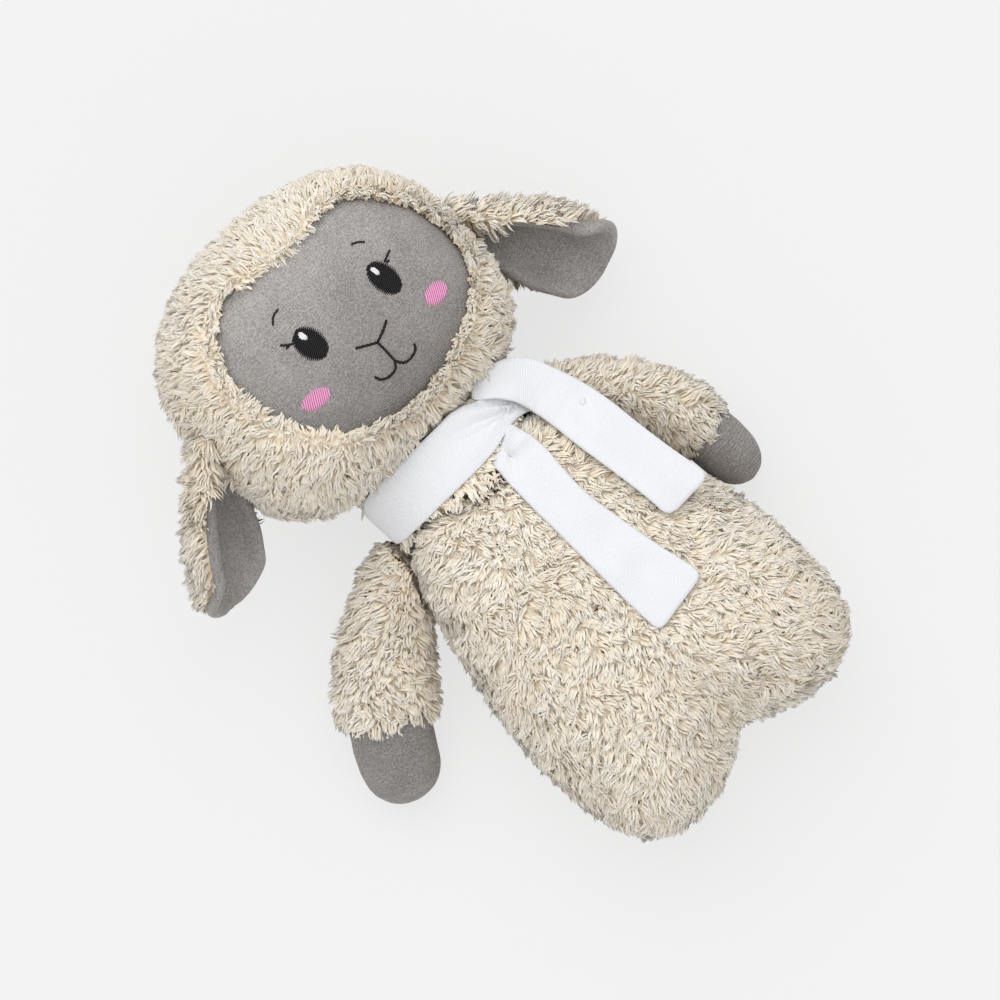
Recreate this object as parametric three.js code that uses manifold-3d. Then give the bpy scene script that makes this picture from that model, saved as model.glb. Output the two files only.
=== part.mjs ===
// A plush sheep that lies on its back, in millimetres: +Z comes out of the belly and +Y points to the head.
// Left and right are the sheep's own, so its left side is +X. The origin lies on the flat of its back.
import * as THREE from 'three';
import { mergeVertices } from 'three/addons/utils/BufferGeometryUtils.js';
import Module from 'manifold-3d';

const wasm = await Module();
wasm.setup();

// Cloth and clearances
const fleeceThickness = 9;
const earFleeceThickness = 5.5;
const velboaThickness = 2.4;
const jerseyThickness = 2;
const stitchThickness = 0.9;
const seamGap = 0.3;
const drapeGap = 0.9;
const restFlatDepth = 0.5;

// Torso with its two leg lobes
const torsoHalfWidth = 73;
const torsoLength = 177;
const torsoTop = 84;
const torsoCentreDrop = 99;
const torsoFrontDepth = 46;
const torsoBackDepth = 40;
const legCreaseHalfWidth = 13;

// Neck
const neckHalfWidth = 43;
const neckHalfDepth = 33;
const neckRise = 5;
const neckStart = 52;
const neckEnd = 128;
const neckJointHeight = 92;

// Head
const headHalfWidth = 75;
const headTopHeight = 62;
const headChinHeight = 61;
const headFrontDepth = 50;
const headBackDepth = 52;
const headCentre = 165;
const headYaw = THREE.MathUtils.degToRad(14);
const headRoll = THREE.MathUtils.degToRad(-4.5);

// Face panel and its embroidery, in the head's own frame
const faceHalfWidth = 52.5;
const faceTopHeight = 37.5;
const faceChinHeight = 45;
const facePanelInset = 6;
const embroideryMiddleX = 2.8;
const eyeSpacing = 21.8;
const eyeHeight = 1.2;
const eyeHalfWidth = 6.6;
const eyeHalfHeight = 8.7;
const highlightHalfWidth = 1.7;
const highlightHalfHeight = 2.6;
const lashLength = 6.2;
const browSpacing = 24.6;
const browHeight = 20.2;
const browHalfWidth = 3.6;
const noseHeight = -17.5;
const noseHalfWidth = 9.4;
const noseRise = 4.4;
const mouthHeight = -28.2;
const mouthHalfWidth = 11.5;
const mouthDip = 3.6;
const cheekSpacing = 35.2;
const cheekHeight = -18.3;
const cheekHalfWidth = 6.8;
const cheekHalfHeight = 4;
const threadWidth = 1.3;

// Ears
const earHalfWidth = 21.5;
const earRootReach = 28;
const earTipReach = 42;
const earForward = 8;
const earHingeOut = 5.3;
const earRootOverlap = 4.6;

// Arms and hands
const armHalfWidth = 20.5;
const armHalfDepth = 15;
const armLength = 110;
const shoulderSpacing = 41;
const rightShoulderHeight = 75.5;
const leftShoulderHeight = 82.5;
const handHalfWidth = 16;
const handHalfDepth = 12.6;

// Scarf
const scarfBandWidth = 26;
const scarfBandHeight = 91;
const scarfCrossingRise = 14;
const scarfCrossingLength = 43;
const scarfCrossingX = 47.5;
const scarfLeftTailLength = 58;
const scarfRightTailLength = 103.6;
const scarfRightTailDrop = 14.4;
const scarfTailWidth = 26;
const scarfLeftTailX = 54;
const scarfRightTailX = 17.5;
const scarfLeftFoldX = 46;
const scarfNeckFoldX = 31;
const hingeGap = 0.4;
const tackRadius = 1.6;
const tackHeight = 0.8;

// Half outline of the torso, from the middle of its top round to the notch between the legs.
// Each point is a share of the half width and of the length.
const shoulderDropShare = 0.124;
const torsoOutlineShares = [
  [0, 0], [0.27, 0], [0.47, 0.01], [0.59, 0.045], [0.69, shoulderDropShare], [0.8, 0.249],
  [0.89, 0.395], [0.966, 0.537], [1, 0.672], [0.993, 0.78], [0.952, 0.881], [0.85, 0.955],
  [0.66, 0.997], [0.466, 1], [0.274, 0.983], [0.123, 0.949], [0, 0.915],
];
const legCreaseShare = 0.34;
// Swell of the arm and of the hand: share of the way along, and share of the half width and depth.
const sleeveSwellShares = [
  [0, 0.7], [0.08, 0.77], [0.16, 0.85], [0.24, 0.91], [0.33, 0.97],
  [0.44, 1], [0.56, 1], [0.66, 0.98], [0.71, 0.9],
];
const handSwellShares = [[0.71, 0.96], [0.78, 1], [0.86, 0.95], [0.93, 0.76], [0.98, 0.42]];
const armRoomShares = [[0.3, 0.7], [0.42, 1], [1, 1]];
const armFillingShares = [[0.303, 0.68], [0.42, 0.97], [0.71, 0.97], [0.8, 1], [0.955, 0.5]];
const plainShares = [[0, 1], [1, 1]];
const wristShare = 0.71;
const gussetEndShare = 0.24;
// Half width of the ear from its root to its tip.
const earWidthShares = [
  [0, 0.12], [0.05, 0.2], [0.11, 0.29], [0.21, 0.5], [0.33, 0.78], [0.48, 0.96], [0.62, 1],
  [0.79, 0.92], [0.9, 0.69], [0.96, 0.46], [1, 0.18],
];
const edgePinchShare = 0.55;
const earRootTaperShares = [[0, 0.25], [0.05, 0.8], [0.1, 1], [1, 1]];
// Edges of the scarf's pieces: share of the way down, then the left and right edge as shares of the width.
const crossingEdgeShares = [
  [0, -0.66, -0.22], [0.16, -0.84, 0.04], [0.28, -0.73, 0.22], [0.4, -0.55, 0.32],
  [0.55, -0.43, 0.38], [0.77, -0.33, 0.46], [1, -0.26, 0.54],
];
const leftTailEdgeShares = [
  [0, -0.52, 0.28], [0.25, -0.5, 0.37], [0.5, -0.46, 0.44],
  [0.8, -0.42, 0.49], [0.94, -0.38, 0.47], [1, -0.26, 0.36],
];
const rightTailEdgeShares = [
  [0, -0.3, 0.3], [0.08, -0.42, 0.45], [0.25, -0.48, 0.48], [0.5, -0.53, 0.44],
  [0.7, -0.54, 0.47], [0.85, -0.52, 0.56], [0.96, -0.47, 0.59], [1, -0.38, 0.5],
];
const bandGatherShare = 0.36;
const bandSlopeShare = -0.05;
const bandBackShare = 0.72;
const tailFollowShare = 0.82;
const drapeSlopeShare = 0.42;

const headForm = makeHeadForm();
const torsoForm = makeTorsoForm();
const torsoSeamHeight = torsoBackDepth - restFlatDepth;
const neckCentreHeight = torsoSeamHeight + neckRise;
const scarfCrossingTop = scarfBandHeight + scarfCrossingRise;
const scarfRightTailTop = scarfBandHeight - scarfRightTailDrop;
const cutterReach = 2 * (torsoLength + headTopHeight);

const fleeceLook = { color: 0xefe7d6, roughness: 0.95, metalness: 0 };
const velboaLook = { color: 0x9d9895, roughness: 0.85, metalness: 0 };
const jerseyLook = { color: 0xf4f5f9, roughness: 0.8, metalness: 0 };
const fillingLook = { color: 0xfbfbf8, roughness: 1, metalness: 0 };
const blackThreadLook = { color: 0x16161a, roughness: 0.5, metalness: 0 };
const whiteThreadLook = { color: 0xf7f7f7, roughness: 0.5, metalness: 0 };
const pinkThreadLook = { color: 0xe884bd, roughness: 0.5, metalness: 0 };

function lerpShares(table, place, column = 1) {
  const next = table.findIndex((row) => row[0] >= place);
  if (next <= 0) return table[next < 0 ? table.length - 1 : 0][column];
  const [before, after] = [table[next - 1], table[next]];
  const way = (place - before[0]) / (after[0] - before[0]);
  return THREE.MathUtils.lerp(before[column], after[column], way);
}

function geometryFrom(points, triangles) {
  const geometry = new THREE.BufferGeometry().setFromPoints(points);
  let volume = 0;
  for (let n = 0; n < triangles.length; n += 3) {
    const [a, b, c] = [points[triangles[n]], points[triangles[n + 1]], points[triangles[n + 2]]];
    volume += a.dot(new THREE.Vector3().crossVectors(b, c));
  }
  geometry.setIndex(volume < 0 ? [...triangles].reverse() : triangles);
  return geometry;
}

function solidOf(geometry) {
  const bare = geometry.clone();
  bare.deleteAttribute('normal');
  bare.deleteAttribute('uv');
  const merged = mergeVertices(bare);
  return new wasm.Manifold(new wasm.Mesh({
    numProp: 3,
    vertProperties: new Float32Array(merged.attributes.position.array),
    triVerts: new Uint32Array(merged.index.array),
  }));
}

function geometryOf(solid) {
  const made = solid.getMesh();
  const geometry = new THREE.BufferGeometry();
  geometry.setAttribute('position', new THREE.BufferAttribute(made.vertProperties, 3));
  geometry.setIndex(new THREE.BufferAttribute(made.triVerts, 1));
  return geometry;
}

function mesh(name, geometry, look) {
  const shown = geometry.clone();
  shown.computeVertexNormals();
  const made = new THREE.Mesh(shown, new THREE.MeshStandardMaterial(look));
  made.name = name;
  return made;
}

// A closed skin over a stack of loops of points, with a pole at each end.
function closedLoft(start, loops, end) {
  const points = [start, ...loops.flat(), end];
  const count = loops[0].length;
  const last = points.length - 1;
  const at = (loop, step) => 1 + loop * count + (step % count);
  const triangles = [];
  for (let step = 0; step < count; step++) {
    triangles.push(0, at(0, step), at(0, step + 1));
    for (let loop = 0; loop + 1 < loops.length; loop++) {
      triangles.push(at(loop, step), at(loop + 1, step), at(loop + 1, step + 1));
      triangles.push(at(loop, step), at(loop + 1, step + 1), at(loop, step + 1));
    }
    triangles.push(at(loops.length - 1, step), last, at(loops.length - 1, step + 1));
  }
  return geometryFrom(points, triangles);
}

// A closed sheet between two grids of rows of points. A ring of cloth joins its last row to its first.
function sheet(outside, inside, isRing = false) {
  const [rows, columns] = [outside.length, outside[0].length];
  const points = [...outside.flat(), ...inside.flat()];
  const at = (side, row, column) => side * rows * columns + (row % rows) * columns + column;
  const triangles = [];
  const quad = (a, b, c, d) => triangles.push(a, b, c, a, c, d);
  const strips = isRing ? rows : rows - 1;
  for (let row = 0; row < strips; row++) {
    for (let column = 0; column + 1 < columns; column++) {
      quad(at(0, row, column), at(0, row + 1, column), at(0, row + 1, column + 1), at(0, row, column + 1));
      quad(at(1, row, column), at(1, row, column + 1), at(1, row + 1, column + 1), at(1, row + 1, column));
    }
    quad(at(0, row, 0), at(1, row, 0), at(1, row + 1, 0), at(0, row + 1, 0));
    const edge = columns - 1;
    quad(at(0, row, edge), at(0, row + 1, edge), at(1, row + 1, edge), at(1, row, edge));
  }
  for (let column = 0; !isRing && column + 1 < columns; column++) {
    const end = rows - 1;
    quad(at(0, 0, column), at(0, 0, column + 1), at(1, 0, column + 1), at(1, 0, column));
    quad(at(0, end, column), at(1, end, column), at(1, end, column + 1), at(0, end, column + 1));
  }
  return geometryFrom(points, triangles);
}

// Superellipse whose upper and lower halves have their own height and squareness.
function halvedRadius(halfWidth, upper, lower) {
  return (turn) => {
    const half = Math.sin(turn) >= 0 ? upper : lower;
    const across = (Math.abs(Math.cos(turn)) / halfWidth) ** half.squareness;
    const along = (Math.abs(Math.sin(turn)) / half.height) ** half.squareness;
    return (across + along) ** (-1 / half.squareness);
  };
}

function makeHeadForm() {
  const upper = { height: headTopHeight, squareness: 2.3 };
  const lower = { height: headChinHeight, squareness: 3.6 };
  return {
    radius: halvedRadius(headHalfWidth, upper, lower),
    centre: new THREE.Vector2(0, 0),
    seam: 0,
    front: { depth: headFrontDepth, flatness: 3.8, fullness: () => 2.5 },
    back: { depth: headBackDepth, flatness: 2.8, fullness: () => 2.2 },
    crease: () => 1,
  };
}

// The outline as a radius from the torso's middle, whichever way one looks from there.
function makeTorsoForm() {
  const middle = torsoTop - torsoCentreDrop;
  const half = torsoOutlineShares.map(([across, down]) => {
    return new THREE.Vector3(across * torsoHalfWidth, torsoTop - down * torsoLength - middle, 0);
  });
  const mirrored = half.slice(1, -1).reverse().map((point) => new THREE.Vector3(-point.x, point.y, 0));
  const curve = new THREE.CatmullRomCurve3([...half, ...mirrored], true);
  const polar = curve.getPoints(600).map(({ x, y }) => [Math.atan2(y, x), Math.hypot(x, y)]);
  polar.sort((a, b) => a[0] - b[0]);
  const [first, last] = [polar[0], polar[polar.length - 1]];
  polar.unshift([last[0] - 2 * Math.PI, last[1]]);
  polar.push([first[0] + 2 * Math.PI, first[1]]);
  const crotch = half[half.length - 1].y;
  const shoulders = torsoTop - shoulderDropShare * torsoLength - middle;
  const fullness = (y) => 2.2 + 1.3 * THREE.MathUtils.smoothstep(y - middle, 0, shoulders);
  return {
    radius: (turn) => lerpShares(polar, Math.atan2(Math.sin(turn), Math.cos(turn))),
    centre: new THREE.Vector2(0, middle),
    seam: torsoBackDepth - restFlatDepth,
    front: { depth: torsoFrontDepth, flatness: 3.4, fullness },
    back: { depth: torsoBackDepth, flatness: 3.4, fullness },
    crease: (x, y) => {
      const near = Math.exp(-((x / legCreaseHalfWidth) ** 2));
      return 1 - legCreaseShare * near * THREE.MathUtils.smoothstep(middle - y, -crotch * 0.45, -crotch);
    },
  };
}

function pillowPoint(form, inset, turn, share, isFront) {
  const side = isFront ? form.front : form.back;
  const reach = (form.radius(turn) - inset) * share;
  const x = form.centre.x + Math.cos(turn) * reach;
  const y = form.centre.y + Math.sin(turn) * reach;
  const swell = Math.max(0, 1 - share ** side.flatness) ** (1 / side.fullness(y));
  const height = (side.depth - inset) * swell * form.crease(x, y);
  return new THREE.Vector3(x, y, form.seam + (isFront ? height : -height));
}

// A stuffed form that swells from its seam to both sides. Its loops crowd towards the seam, where it is steep.
function pillow(form, inset, spokes, rings) {
  const loop = (ring, isFront) => Array.from({ length: spokes }, (_, spoke) => {
    const turn = 2 * Math.PI * (spoke / spokes + 0.25);
    return pillowPoint(form, inset, turn, Math.sin((Math.PI / 2) * (ring / rings)) ** 0.9, isFront);
  });
  const steps = Array.from({ length: rings - 1 }, (_, n) => n + 1);
  const front = steps.map((ring) => loop(ring, true));
  const back = [...steps].reverse().map((ring) => loop(ring, false));
  const start = pillowPoint(form, inset, 0, 0, true);
  const end = pillowPoint(form, inset, 0, 0, false);
  return closedLoft(start, [...front, loop(rings, true), ...back], end);
}

// How far out from its middle to its seam a form's front reaches a height over the seam.
function shareAt(form, height) {
  const { depth, flatness, fullness } = form.front;
  return (1 - (height / depth) ** fullness(0)) ** (1 / flatness);
}

function heightOn(form, inset, x, y) {
  const [dx, dy] = [x - form.centre.x, y - form.centre.y];
  const turn = Math.atan2(dy, dx);
  const share = Math.min(1, Math.hypot(dx, dy) / (form.radius(turn) - inset));
  return pillowPoint(form, inset, turn, share, true).z;
}

// A block that keeps what lies above a height, or below it.
function above(height) {
  const block = new THREE.BoxGeometry(cutterReach, cutterReach, cutterReach);
  return solidOf(block.translate(0, 0, height + cutterReach / 2));
}

function below(height) {
  const block = new THREE.BoxGeometry(cutterReach, cutterReach, cutterReach);
  return solidOf(block.translate(0, 0, height - cutterReach / 2));
}

const torsoSpokes = 40;
const torsoRings = 6;
const torsoRoom = solidOf(pillow(torsoForm, -seamGap, torsoSpokes, torsoRings));

function torsoPieces() {
  const cavity = solidOf(pillow(torsoForm, fleeceThickness, 28, 5));
  const skin = solidOf(pillow(torsoForm, 0, torsoSpokes, torsoRings)).subtract(cavity).intersect(above(0));
  const front = skin.intersect(above(torsoSeamHeight + seamGap / 2));
  const back = skin.intersect(below(torsoSeamHeight - seamGap / 2));
  return [
    mesh('torso_front_panel', geometryOf(front), fleeceLook),
    mesh('torso_back_panel', geometryOf(back), fleeceLook),
    mesh('torso_filling', pillow(torsoForm, fleeceThickness + seamGap, 28, 5), fillingLook),
  ];
}

const headSpokes = 36;
const headRings = 6;
const headTurn = new THREE.Matrix4().makeRotationFromEuler(new THREE.Euler(0, headYaw, headRoll, 'ZYX'));
const headMatrix = placeHead();

// The turned head is as high as it takes for its back to lie on the floor with a small flat.
function placeHead() {
  const turned = pillow(headForm, 0, headSpokes, headRings).applyMatrix4(headTurn);
  turned.computeBoundingBox();
  const rise = -turned.boundingBox.min.z - restFlatDepth;
  return headTurn.clone().setPosition(0, headCentre, rise);
}

const headRoom = solidOf(pillow(headForm, -seamGap, headSpokes, headRings).applyMatrix4(headMatrix));

function faceOutline(inset) {
  const upper = { height: faceTopHeight - inset, squareness: 2.7 };
  const lower = { height: faceChinHeight - inset, squareness: 1.9 };
  const radius = halvedRadius(faceHalfWidth - inset, upper, lower);
  const corners = Array.from({ length: 28 }, (_, n) => {
    const turn = (2 * Math.PI * n) / 28;
    return new THREE.Vector2(Math.cos(turn) * radius(turn), Math.sin(turn) * radius(turn));
  });
  return new THREE.Shape(corners);
}

function facePrism(inset) {
  const depth = headFrontDepth + fleeceThickness;
  return solidOf(new THREE.ExtrudeGeometry(faceOutline(inset), { depth, bevelEnabled: false }));
}

function headPieces() {
  const outer = solidOf(pillow(headForm, 0, headSpokes, headRings));
  const cavity = solidOf(pillow(headForm, fleeceThickness, headSpokes, headRings));
  const floor = solidOf(geometryOf(above(0)).applyMatrix4(headMatrix.clone().invert()));
  const skin = outer.subtract(cavity).intersect(floor);
  const hood = skin.intersect(above(seamGap / 2)).subtract(facePrism(0));
  const back = skin.intersect(below(-seamGap / 2));
  const faceOuter = solidOf(pillow(headForm, facePanelInset, headSpokes, headRings));
  const faceInner = solidOf(pillow(headForm, facePanelInset + velboaThickness, headSpokes, headRings));
  const panel = faceOuter.subtract(faceInner).intersect(facePrism(seamGap));
  return [
    mesh('head_hood', geometryOf(hood), fleeceLook),
    mesh('head_back_panel', geometryOf(back), fleeceLook),
    mesh('head_filling', pillow(headForm, fleeceThickness + seamGap, headSpokes, headRings), fillingLook),
    mesh('face_panel', geometryOf(panel), velboaLook),
  ];
}

// A place on the face, counted from the middle line of its embroidery.
function facePoint(x, y, lift) {
  const across = x + embroideryMiddleX;
  return new THREE.Vector3(across, y, heightOn(headForm, facePanelInset, across, y) + lift);
}

// A patch of satin stitch that follows the face: a fan of thread round its middle.
function stitchedOval(x, y, halfWidth, halfHeight, tilt, lift) {
  const rim = Array.from({ length: 16 }, (_, n) => {
    const turn = (2 * Math.PI * n) / 16;
    const offset = new THREE.Vector2(Math.cos(turn) * halfWidth, Math.sin(turn) * halfHeight);
    return offset.rotateAround(new THREE.Vector2(0, 0), tilt);
  });
  const loop = (rise) => rim.map((offset) => facePoint(x + offset.x, y + offset.y, rise));
  const top = lift + stitchThickness;
  return closedLoft(facePoint(x, y, top), [loop(top), loop(lift)], facePoint(x, y, lift));
}

// A line of thread along a curve through the given places.
function stitchedLine(places) {
  const curve = new THREE.SplineCurve(places.map(([x, y]) => new THREE.Vector2(x, y)));
  const steps = Math.max(2, Math.round(curve.getLength() / (2 * threadWidth)));
  const grid = (lift) => Array.from({ length: steps + 1 }, (_, n) => {
    const middle = curve.getPointAt(n / steps);
    const along = curve.getTangentAt(n / steps);
    return [-0.5, 0.5].map((share) => {
      const offset = share * threadWidth;
      return facePoint(middle.x - along.y * offset, middle.y + along.x * offset, lift);
    });
  });
  return sheet(grid(seamGap + stitchThickness), grid(seamGap));
}

function noseAndMouth() {
  const lines = [[[0, noseHeight + threadWidth / 2], [0, mouthHeight]]];
  for (const side of [-1, 1]) {
    lines.push([
      [side * noseHalfWidth, noseHeight + noseRise],
      [side * noseHalfWidth * 0.5, noseHeight + noseRise * 0.3],
      [0, noseHeight],
    ]);
    lines.push([
      [0, mouthHeight + threadWidth / 2],
      [side * mouthHalfWidth * 0.42, mouthHeight - mouthDip],
      [side * mouthHalfWidth * 0.85, mouthHeight - mouthDip * 0.7],
      [side * mouthHalfWidth, mouthHeight],
    ]);
  }
  const joined = lines.map((places) => solidOf(stitchedLine(places))).reduce((all, line) => all.add(line));
  return geometryOf(joined);
}

// Two lashes that part from one corner of the eye.
function lashes(side) {
  const [x, y] = [side * (eyeSpacing + eyeHalfWidth * 0.98), eyeHeight + eyeHalfHeight * 0.62];
  const across = side * lashLength;
  const long = [[x, y], [x + across * 0.55, y + lashLength * 0.22], [x + across, y + lashLength * 0.5]];
  const short = [[x, y], [x + across * 0.3, y - lashLength * 0.12], [x + across * 0.55, y - lashLength * 0.2]];
  return geometryOf(solidOf(stitchedLine(long)).add(solidOf(stitchedLine(short))));
}

function embroidery() {
  const pieces = [mesh('nose_and_mouth', noseAndMouth(), blackThreadLook)];
  for (const [name, side] of [['right', -1], ['left', 1]]) {
    const x = side * eyeSpacing;
    const eye = stitchedOval(x, eyeHeight, eyeHalfWidth, eyeHalfHeight, 0, seamGap);
    const shineHeight = eyeHeight + eyeHalfHeight - 1.4 * highlightHalfHeight;
    const shineLift = 2 * seamGap + stitchThickness;
    const shine = stitchedOval(x, shineHeight, highlightHalfWidth, highlightHalfHeight, 0.35, shineLift);
    const brow = stitchedLine([
      [side * (browSpacing - browHalfWidth), browHeight + browHalfWidth * 0.28],
      [side * browSpacing, browHeight],
      [side * (browSpacing + browHalfWidth), browHeight - browHalfWidth * 0.75],
    ]);
    const cheekX = side * cheekSpacing;
    const cheek = stitchedOval(cheekX, cheekHeight, cheekHalfWidth, cheekHalfHeight, side * 0.15, seamGap);
    pieces.push(mesh(`${name}_eye`, eye, blackThreadLook));
    pieces.push(mesh(`${name}_eye_highlight`, shine, whiteThreadLook));
    pieces.push(mesh(`${name}_lashes`, lashes(side), blackThreadLook));
    pieces.push(mesh(`${name}_brow`, brow, blackThreadLook));
    pieces.push(mesh(`${name}_cheek`, cheek, pinkThreadLook));
  }
  return pieces;
}

// The way out to one side that points down by the first angle, towards the feet, and back by the second.
function direction(side, dropAngle, leanAngle) {
  const [drop, lean] = [dropAngle, leanAngle].map(THREE.MathUtils.degToRad);
  return new THREE.Vector3(
    side * Math.cos(drop) * Math.cos(lean),
    -Math.sin(drop) * Math.cos(lean),
    -Math.sin(lean),
  );
}

// Each arm's own hang, in degrees: how far it points down at its root and at its tip, its lean to the back,
// and how far it is rolled.
const armPoses = {
  right: { side: -1, rootAngle: 18, tipAngle: 66, leanAngle: 13, rollAngle: 0 },
  left: { side: 1, rootAngle: 35, tipAngle: 100, leanAngle: 9, rollAngle: 72 },
};

// The arm's middle line. At each share of its length, lifted points out of the front of the arm.
function armFrame(pose) {
  const height = pose.side < 0 ? rightShoulderHeight : leftShoulderHeight;
  const root = new THREE.Vector3(pose.side * shoulderSpacing, height, torsoSeamHeight);
  const away = direction(pose.side, pose.rootAngle, pose.leanAngle);
  const down = direction(pose.side, pose.tipAngle, pose.leanAngle);
  const straight = new THREE.QuadraticBezierCurve3(new THREE.Vector3(), away, away.clone().add(down));
  const reach = armLength / straight.getLength();
  const elbow = root.clone().addScaledVector(away, reach);
  const tip = elbow.clone().addScaledVector(down, reach);
  const curve = new THREE.QuadraticBezierCurve3(root, elbow, tip);
  const roll = THREE.MathUtils.degToRad(pose.rollAngle) * pose.side;
  const at = (share) => {
    const along = curve.getTangentAt(share);
    const lifted = new THREE.Vector3(0, 0, 1).projectOnPlane(along).normalize().applyAxisAngle(along, roll);
    const across = new THREE.Vector3().crossVectors(along, lifted);
    return { middle: curve.getPointAt(share), along, across, lifted };
  };
  return { roll, at };
}

// A loop round the middle line, with corners given as shares of a half width and a half depth.
function loopRound(place, corners, halfWidth, halfDepth) {
  return corners.map(([sideways, up]) => place.middle.clone()
    .addScaledVector(place.across, sideways * halfWidth)
    .addScaledVector(place.lifted, up * halfDepth));
}

function circleCorners(spokes) {
  return Array.from({ length: spokes }, (_, spoke) => {
    const turn = (2 * Math.PI * spoke) / spokes;
    return [Math.cos(turn), Math.sin(turn)];
  });
}

// A stretch of stuffed limb from one share of the middle line to another, that swells as its table says.
function limb(frame, table, from, to, halfWidth, halfDepth, spokes = 16) {
  const steps = Math.max(2, Math.round((to - from) * 15));
  const corners = circleCorners(spokes);
  const loops = Array.from({ length: steps + 1 }, (_, n) => {
    const share = THREE.MathUtils.lerp(from, to, n / steps);
    const swell = lerpShares(table, share);
    return loopRound(frame.at(share), corners, halfWidth * swell, halfDepth * swell);
  });
  return solidOf(closedLoft(frame.at(from).middle, loops, frame.at(to).middle));
}

// The mitten rounds off to the end of the middle line.
function hand(frame, inset) {
  const corners = circleCorners(14);
  const [halfWidth, halfDepth] = [handHalfWidth - inset, handHalfDepth - inset];
  const [from, to] = [handSwellShares[0][0], handSwellShares[handSwellShares.length - 1][0]];
  const loops = Array.from({ length: 8 }, (_, n) => {
    const share = THREE.MathUtils.lerp(from, to, n / 7);
    const swell = lerpShares(handSwellShares, share);
    return loopRound(frame.at(share), corners, halfWidth * swell, halfDepth * swell);
  });
  const end = frame.at(1);
  return solidOf(closedLoft(frame.at(from).middle, loops, end.middle.addScaledVector(end.along, -inset)));
}

// A slab along the middle line that keeps the front or the back half of the limb.
function limbHalf(frame, side) {
  const corners = [[-1, 0], [1, 0], [1, side], [-1, side]];
  const loops = Array.from({ length: 9 }, (_, n) => {
    const place = frame.at(n / 8);
    place.middle.addScaledVector(place.along, (n / 4 - 1) * armHalfWidth);
    place.middle.addScaledVector(place.lifted, (side * seamGap) / 2);
    return loopRound(place, corners, 2 * armHalfWidth, 2 * armHalfWidth);
  });
  const middleOf = (loop) => loop[0].clone().lerp(loop[2], 0.5);
  return solidOf(closedLoft(middleOf(loops[0]), loops, middleOf(loops[loops.length - 1])));
}

function armPieces(name, pose) {
  const frame = armFrame(pose);
  const gap = seamGap / armLength;
  const [roomWidth, roomDepth] = [armHalfWidth - fleeceThickness, armHalfDepth - fleeceThickness];
  const gusset = limb(frame, sleeveSwellShares, 0, gussetEndShare, armHalfWidth, armHalfDepth)
    .subtract(torsoRoom)
    .subtract(neckTube(-jerseyThickness - 2 * seamGap));
  const sleeve = limb(frame, sleeveSwellShares, gussetEndShare + gap, wristShare, armHalfWidth, armHalfDepth)
    .subtract(torsoRoom)
    .subtract(limb(frame, armRoomShares, armRoomShares[0][0], wristShare + gap, roomWidth, roomDepth, 12));
  const pastWrist = limb(frame, plainShares, wristShare + gap, 1, 2 * armHalfWidth, 2 * armHalfWidth);
  const mitten = hand(frame, 0).subtract(hand(frame, velboaThickness)).intersect(pastWrist);
  const [start, end] = [armFillingShares[0][0], armFillingShares[armFillingShares.length - 1][0]];
  const filling = limb(frame, armFillingShares, start, end, roomWidth - seamGap, roomDepth - seamGap, 12);
  const [front, back] = [limbHalf(frame, 1), limbHalf(frame, -1)];
  return [
    mesh(`${name}_shoulder_gusset`, geometryOf(gusset), fleeceLook),
    mesh(`${name}_sleeve_front`, geometryOf(sleeve.intersect(front)), fleeceLook),
    mesh(`${name}_sleeve_back`, geometryOf(sleeve.intersect(back)), fleeceLook),
    mesh(`${name}_hand_front`, geometryOf(mitten.intersect(front)), velboaLook),
    mesh(`${name}_hand_back`, geometryOf(mitten.intersect(back)), velboaLook),
    mesh(`${name}_arm_filling`, geometryOf(filling), fillingLook),
  ];
}

// Each ear's own hang, in degrees: how far below the head's middle it is sewn on, how far it points down
// at its root and at its tip, its lean to the back, and how far its hollow turns from the front.
// Its curl is the share of a radian that each half of it bends.
const earPoses = {
  right: { side: -1, seamAngle: 5.5, rootAngle: 38, tipAngle: 55, leanAngle: 28, faceAngle: 50, curl: 1.2 },
  left: { side: 1, seamAngle: 5.5, rootAngle: 58, tipAngle: 74, leanAngle: 22, faceAngle: 18, curl: 1.0 },
};

function earFrame(pose) {
  const turn = -THREE.MathUtils.degToRad(pose.seamAngle);
  const face = THREE.MathUtils.degToRad(pose.faceAngle);
  const share = shareAt(headForm, earForward);
  const reach = headForm.radius(turn) * share;
  const local = new THREE.Vector3(pose.side * Math.cos(turn) * reach, Math.sin(turn) * reach, earForward);
  const outward = new THREE.Vector3(pose.side, 0, 0).transformDirection(headMatrix);
  const hinge = local.applyMatrix4(headMatrix).addScaledVector(outward, earHingeOut);
  const rootWay = direction(pose.side, pose.rootAngle, pose.leanAngle);
  const tipWay = direction(pose.side, pose.tipAngle, pose.leanAngle);
  const start = hinge.clone().addScaledVector(rootWay, -earRootOverlap);
  const bend = hinge.clone().addScaledVector(rootWay, earRootReach);
  const tip = bend.clone().addScaledVector(tipWay, earTipReach);
  const curve = new THREE.QuadraticBezierCurve3(start, bend, tip);
  const hollowAt = (along) => {
    const front = new THREE.Vector3(0, 0, 1).projectOnPlane(along).normalize();
    return front.applyAxisAngle(along, pose.side * face);
  };
  return { hinge, curve, hollowAt };
}

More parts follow.
